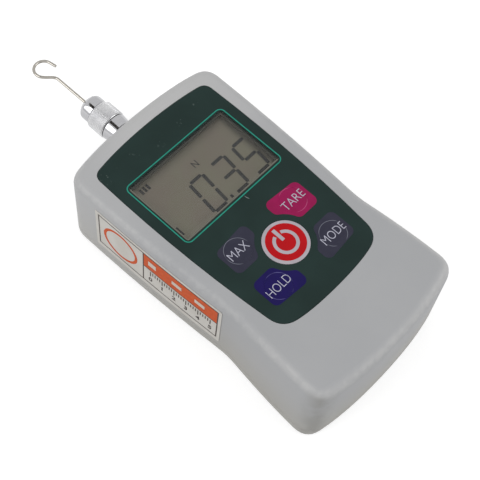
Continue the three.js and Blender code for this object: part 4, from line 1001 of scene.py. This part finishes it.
bar = strip("sticker_bar", right_y, (inner_z[0], ORANGE_FLOOR))
bpy.ops.object.select_all(action="DESELECT")
bpy.ops.mesh.primitive_circle_add(vertices=DIAL_SIDES, radius=DIAL_OUTER)
dial = bpy.context.object
edit_all("EDGE")
bpy.ops.mesh.extrude_edges_move()
inward = DIAL_INNER / DIAL_OUTER
bpy.ops.transform.resize(value=(inward, inward, 1), center_override=(0, 0, 0))
leave()
shift(dial, -DIAL[0], DIAL[1], 0)
orange = join(bar, dial)
settle(on_side(orange, "orange"), orange_print, "case", "sticker_vinyl")

bar_z = (inner_z[0] + ORANGE_FLOOR) / 2
white_marks = []
for y, long, tall in BAR_MARKS:
    across = ((y + long / 2) * MM, (y - long / 2) * MM)
    half = tall / 2 * MM
    white_marks.append(strip("mark", across, (bar_z + half, bar_z - half)))
marks = join(*white_marks)
marks.name = "sticker_marks"
settle(on_side(marks, "white"), white_print, "case", "sticker_vinyl")

# Chuck and measuring shaft
# A small keyless chuck of satin nickel plated steel on the end of the measuring
# shaft: a rear ring with a rim, a diamond knurled sleeve that opens three jaws,
# and a nose with a turned cone. All were turned, and the sleeve was knurled.
PLATED_GREY = ((184, 184, 186), (176, 176, 179))
KNURL_GREY = ((198, 198, 200), (208, 208, 209))
SHAFT_GREY = ((168, 168, 170), (156, 156, 159))
JAW_GREY = ((84, 84, 86), (104, 104, 105))
TURNED_SIDES = 96
TURNED_ANGLE = 24
RING_SHAPE = (
    (0, 69.8),
    (2.3, 69.8),
    (2.3, 64.7),
    (4.7, 64.7),
    (4.9, 64.9),
    (5.4, 68.8),
    (5.35, 68.95),
    (5.2, 69.0),
    (4.0, 69.0),
    (4.0, 76.9),
    (3.65, 76.9),
    (3.65, 78.4),
    (2.9, 78.4),
    (2.9, 72.8),
    (0, 72.8),
)
NOSE_SHAPE = (
    (3.95, 76.9),
    (4.8, 76.9),
    (4.95, 77.05),
    (4.95, 80.2),
    (4.9, 80.45),
    (4.75, 80.95),
    (4.0, 81.8),
    (3.0, 82.44),
    (2.85, 82.5),
    (1.55, 82.5),
    (1.5, 82.4),
    (1.5, 81.0),
    (2.9, 81.0),
    (2.9, 78.7),
    (3.95, 78.7),
    (3.95, 76.9),
)
KNURL_COLUMNS = 46
KNURL_ROWS = 9
KNURL_LOW = 5.5 * MM
KNURL_RISE = 0.2 * MM
KNURL_SPAN = (69.55 * MM, 76.35 * MM)
SLEEVE_SPAN = (69.3 * MM, 76.6 * MM)
SLEEVE_END = 5.35 * MM
SLEEVE_BORE = 4.3 * MM
POLE_RADIUS = 0.01 * MM

shaft_low, shaft_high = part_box("chuck_nose")
axis_x = (shaft_low.x + shaft_high.x) / 2
axis_z = (shaft_low.z + shaft_high.z) / 2


def lay_down(piece):
    """Turns a piece made round the Z axis to lie along the measuring shaft."""
    pick(piece)
    turn = Matrix(((1, 0, 0, axis_x), (0, 0, 1, 0), (0, -1, 0, axis_z), (0, 0, 0, 1)))
    piece.matrix_world = turn
    bpy.ops.object.transform_apply(location=True, rotation=True, scale=True)
    edit_all()
    bpy.ops.mesh.remove_doubles(threshold=MERGE_DISTANCE)
    bpy.ops.mesh.normals_make_consistent(inside=False)
    leave()
    return piece


def draw_out(start, points):
    """Draws the selected loop of edges out through the points of a turned shape."""
    radius, height = start
    for next_radius, next_height in points:
        bpy.ops.mesh.extrude_edges_move()
        grow = next_radius / radius
        bpy.ops.transform.resize(value=(grow, grow, 1), center_override=(0, 0, height))
        bpy.ops.transform.translate(value=(0, 0, next_height - height))
        radius, height = next_radius, next_height


def turned_piece(name, shape):
    """A lathe turned piece, from radii and places along the shaft in mm."""
    points = [(max(radius * MM, POLE_RADIUS), y * MM) for radius, y in shape]
    radius, height = points[0]
    bpy.ops.object.select_all(action="DESELECT")
    bpy.ops.mesh.primitive_circle_add(
        vertices=TURNED_SIDES, radius=radius, fill_type="NOTHING", location=(0, 0, height)
    )
    piece = bpy.context.object
    piece.name = name
    bpy.ops.object.transform_apply(location=True, rotation=True, scale=True)
    edit_all()
    if shape[0][0] == 0:
        bpy.ops.mesh.edge_face_add()
    draw_out(points[0], points[1:])
    if shape[-1][0] == 0:
        bpy.ops.mesh.edge_face_add()
    leave()
    return lay_down(piece)


plated, start = finish("satin nickel plate", Metallic=1.0)
stretched = {"Vector": spot(start), "Scale": (1, 14, 1)}
fine_lines = start.node("Mapping", sockets=stretched)
turned = start.node("TexNoise", sockets={"Vector": fine_lines, "Scale": 420})
mottled(turned, PLATED_GREY).to("Base Color")
(0.05 + turned * 0.08).to("Roughness")
chuck_ring = turned_piece("chuck_ring", RING_SHAPE)
smooth(chuck_ring, TURNED_ANGLE)
settle(chuck_ring, plated, "shaft", "chuck_chrome", "chuck_body")
chuck_cone = turned_piece("chuck_cone", NOSE_SHAPE)
smooth(chuck_cone, TURNED_ANGLE)
settle(chuck_cone, plated, "shaft", "chuck_chrome", "chuck_nose")

# The wall of the sleeve is cut into a grid. Each cell is split by its diagonals,
# and the grid's own lines go, so that diamonds stay, which rise to a point.
bpy.ops.object.select_all(action="DESELECT")
knurl_length = KNURL_SPAN[1] - KNURL_SPAN[0]
bpy.ops.mesh.primitive_cylinder_add(
    vertices=KNURL_COLUMNS,
    radius=KNURL_LOW,
    depth=knurl_length,
    end_fill_type="NOTHING",
    location=(0, 0, (KNURL_SPAN[0] + KNURL_SPAN[1]) / 2),
)
sleeve = bpy.context.object
sleeve.name = "chuck_sleeve"
bpy.ops.object.transform_apply(location=True, rotation=True, scale=True)
edit("EDGE")
bpy.ops.mesh.select_all(action="DESELECT")
leave()
for line in sleeve.data.edges:
    a, b = (sleeve.data.vertices[i].co for i in line.vertices)
    line.select = abs(a.z - b.z) > knurl_length / 2
edit("EDGE")
bpy.ops.mesh.subdivide(number_cuts=KNURL_ROWS - 1)
leave()
grid_corners = len(sleeve.data.vertices)
edit_all("FACE")
bpy.ops.mesh.poke()
bpy.ops.mesh.select_all(action="DESELECT")
leave()
for line in sleeve.data.edges:
    a, b = line.vertices
    low, high = sorted(sleeve.data.vertices[i].co.z for i in (a, b))
    at_end = high - KNURL_SPAN[0] < MERGE_DISTANCE or KNURL_SPAN[1] - low < MERGE_DISTANCE
    line.select = max(a, b) < grid_corners and not at_end
edit("EDGE")
bpy.ops.mesh.dissolve_edges(use_verts=False)
bpy.ops.mesh.select_mode(type="FACE")
bpy.ops.mesh.select_all(action="SELECT")
bpy.ops.mesh.poke(offset=KNURL_RISE)
bpy.ops.mesh.select_mode(type="EDGE")
for end in (0, 1):
    bpy.ops.mesh.select_all(action="DESELECT")
    leave()
    for line in sleeve.data.edges:
        heights = [sleeve.data.vertices[i].co.z for i in line.vertices]
        line.select = all(abs(z - KNURL_SPAN[end]) < MERGE_DISTANCE for z in heights)
    edit("EDGE")
    bore = [(SLEEVE_BORE, SLEEVE_SPAN[end]), (SLEEVE_BORE, sum(SLEEVE_SPAN) / 2)]
    draw_out((KNURL_LOW, KNURL_SPAN[end]), [(SLEEVE_END, SLEEVE_SPAN[end])] + bore)
leave()
lay_down(sleeve)
knurled, start = finish("knurled nickel plate", Metallic=1.0)
worn = noise(start, 260)
mottled(worn, KNURL_GREY).to("Base Color")
(0.2 + worn * 0.1).to("Roughness")
settle(sleeve, knurled, "sleeve", "chuck_chrome", "knurled_sleeve")

shaft_bright, start = finish("ground shaft", Metallic=1.0)
mottled(noise(start, 700), SHAFT_GREY).to("Base Color")
(0.2 + noise(start, 900) * 0.1).to("Roughness")
twin("measuring_shaft", "turned_shaft", shaft_bright)
twin("shaft_nut", "turned_nut", shaft_bright)

jaw_steel, start = finish("hardened jaws", Metallic=1.0)
mottled(noise(start, 900), JAW_GREY).to("Base Color")
(0.3 + noise(start, 700) * 0.15).to("Roughness")
for i in (1, 2, 3):
    twin(f"chuck_jaw_{i}", f"ground_jaw_{i}", jaw_steel)

# Hook
# Stainless spring wire, bent cold to an open loop and gripped by the jaws. It is
# drawn bright, with a faint brown cast and fine lines along it.
WIRE_GREY = ((174, 170, 163), (164, 160, 153))
WIRE_RADIUS = 0.58 * MM
WIRE_SIDES = 5
WIRE_TIP = 0.12 * MM
WIRE_ANGLE = 40
TIP_STEPS = 3
TIP_ANGLE = 60
NOSE_FACE = 82.5 * MM
WIRE_START = 73.4 * MM
NECK = NOSE_FACE + 16.1 * MM
LOOP_MIDDLE = (-0.7 * MM, NECK + 5.86 * MM)
LOOP_RADIUS = 3.6 * MM
LOOP_ENDS = (200, 10)
LOOP_TIP = 2.8 * MM
BEND_STEPS = 14
LOOP_STEPS = 40

first_turn, last_turn = (math.radians(turn) for turn in LOOP_ENDS)
loop_x, loop_y = LOOP_MIDDLE
out = Vector((math.cos(first_turn), math.sin(first_turn), 0))
joined = Vector((loop_x, loop_y, 0)) + LOOP_RADIUS * out
bend = (joined.y - NECK) / 4
bend_points = (
    Vector((0, NECK - bend, 0)),
    Vector((0, NECK + bend, 0)),
    joined - 2 * bend * Vector((math.sin(first_turn), -math.cos(first_turn), 0)),
    joined,
)
path = [Vector((0, WIRE_START, 0))]
for i in range(BEND_STEPS + 1):
    t = i / BEND_STEPS
    weights = ((1 - t) ** 3, 3 * t * (1 - t) ** 2, 3 * t**2 * (1 - t), t**3)
    path.append(sum((w * p for w, p in zip(weights, bend_points)), Vector()))
for x, y in arc(loop_x, loop_y, LOOP_RADIUS, *LOOP_ENDS, LOOP_STEPS)[1:]:
    path.append(Vector((x, y, 0)))
tip = path[-1] + LOOP_TIP * Vector((math.sin(last_turn), -math.cos(last_turn), 0))
path.append(tip)

bpy.ops.object.select_all(action="DESELECT")
bpy.ops.curve.primitive_nurbs_path_add()
wire = bpy.context.object
wire.name = "bent_wire"
wire.data.splines.clear()
spline = wire.data.splines.new("POLY")
spline.points.add(len(path) - 1)
for point, place in zip(spline.points, path):
    point.co = (place.x + axis_x, place.y, axis_z, 1)
wire.data.dimensions = "3D"
wire.data.bevel_depth = WIRE_RADIUS
wire.data.bevel_resolution = WIRE_SIDES
wire.data.use_fill_caps = True
bpy.ops.object.convert(target="MESH")
edit_all()
bpy.ops.mesh.remove_doubles(threshold=MERGE_DISTANCE)
bpy.ops.mesh.normals_make_consistent(inside=False)
leave()
rounded = wire.modifiers.new("rounded", "BEVEL")
rounded.width = WIRE_TIP
rounded.segments = TIP_STEPS
rounded.limit_method = "ANGLE"
rounded.angle_limit = math.radians(TIP_ANGLE)
bpy.ops.object.modifier_apply(modifier="rounded")
smooth(wire, WIRE_ANGLE)
wire_steel, start = finish("drawn spring wire", Metallic=1.0)
drawn = noise(start, 800)
mottled(drawn, WIRE_GREY).to("Base Color")
(0.1 + drawn * 0.08).to("Roughness")
settle(wire, wire_steel, "hook_body", "hook_wire", "hook")

# Cells
# Two cells in printed plastic sleeves, blue with a dark band at the raised end.
# Their bare steel ends show past the sleeve. They sit behind the battery door.
WRAP_BLUE = (48, 96, 146)
WRAP_DARK = (36, 38, 44)
WRAP_RUBBED = (92, 132, 172)
CELL_STEEL = (188, 188, 186)
SLEEVE_EDGE = 1.7 * MM
BAND_START = 11 * MM
SOFT_EDGE = 0.05 * MM

for i in (1, 2):
    low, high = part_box(f"battery_{i}")
    cell_wrap, start = finish(f"cell {i} sleeve", Specular_IOR_Level=0.4)
    middle = (low.x + high.x) / 2
    half = (high.x - low.x) / 2
    off = along(start, "X") - middle
    bare = off.math("ABSOLUTE").band(half - SLEEVE_EDGE, half - SLEEVE_EDGE + SOFT_EDGE)
    dark_band = off.band(BAND_START, BAND_START + SOFT_EDGE)
    wrap = dark_band.mixed(paint(*WRAP_BLUE), paint(*WRAP_DARK))
    sleeved = (noise(start, 240) * 0.25).mixed(wrap, paint(*WRAP_RUBBED))
    bare.mixed(sleeved, paint(*CELL_STEEL)).to("Base Color")
    bare.to("Metallic")
    (0.28 + noise(start, 500) * 0.1).to("Roughness")
    twin(f"battery_{i}", f"sleeved_cell_{i}", cell_wrap)

# Everything inside
# The measuring beam, the boards and the contacts of the cells, each with the
# finish of its own material. They show when the battery door slides open.
INSIDE = {
    "load_cell_aluminium": ((196, 197, 199), (182, 183, 186), 1.0, 0.32, 700),
    "sheet_steel": ((176, 178, 180), (160, 162, 165), 1.0, 0.36, 300),
    "shaft_steel": ((160, 160, 162), (146, 146, 149), 1.0, 0.28, 700),
    "screw_steel": ((148, 148, 150), (128, 128, 131), 1.0, 0.3, 1200),
    "insert_brass": ((196, 160, 88), (176, 140, 70), 1.0, 0.3, 1500),
    "spring_wire": ((194, 194, 192), (176, 176, 174), 1.0, 0.26, 1500),
    "contact_steel": ((194, 194, 192), (180, 180, 178), 1.0, 0.24, 500),
    "inner_black": ((30, 31, 33), (38, 39, 41), 0.0, 0.5, 900),
    "connector_rubber": ((72, 72, 74), (58, 58, 60), 0.0, 0.7, 1500),
    "board_green": ((24, 84, 50), (30, 96, 58), 0.0, 0.35, 400),
    "lead_red": ((168, 40, 36), (156, 34, 32), 0.0, 0.45, 900),
    "lead_black": ((34, 34, 36), (44, 44, 46), 0.0, 0.45, 900),
}
ROUNDED = ("spring", "lead", "screw", "insert")
INSIDE_GRAIN_DEPTH = 0.008 * MM

inside_finish = {}
for slot, (first, second, metal, rough, scale) in INSIDE.items():
    material, start = finish(slot.replace("_", " "), Metallic=metal)
    cloud = noise(start, scale, 3)
    cloud.band(0.35, 0.65).mixed(paint(*first), paint(*second)).to("Base Color")
    (rough + cloud * 0.12).to("Roughness")
    bump(noise(start, scale * 3, 1), INSIDE_GRAIN_DEPTH, 0.4)
    inside_finish[slot] = material
shown = [node for node in frame["nodes"] if not frame["nodes"][node].hide_render]
for node in shown:
    material = inside_finish[slot_of[node]]
    if any(word in node for word in ROUNDED):
        twin(node, node + "_smooth", material)
    else:
        frame["nodes"][node].material_slots[0].material = material
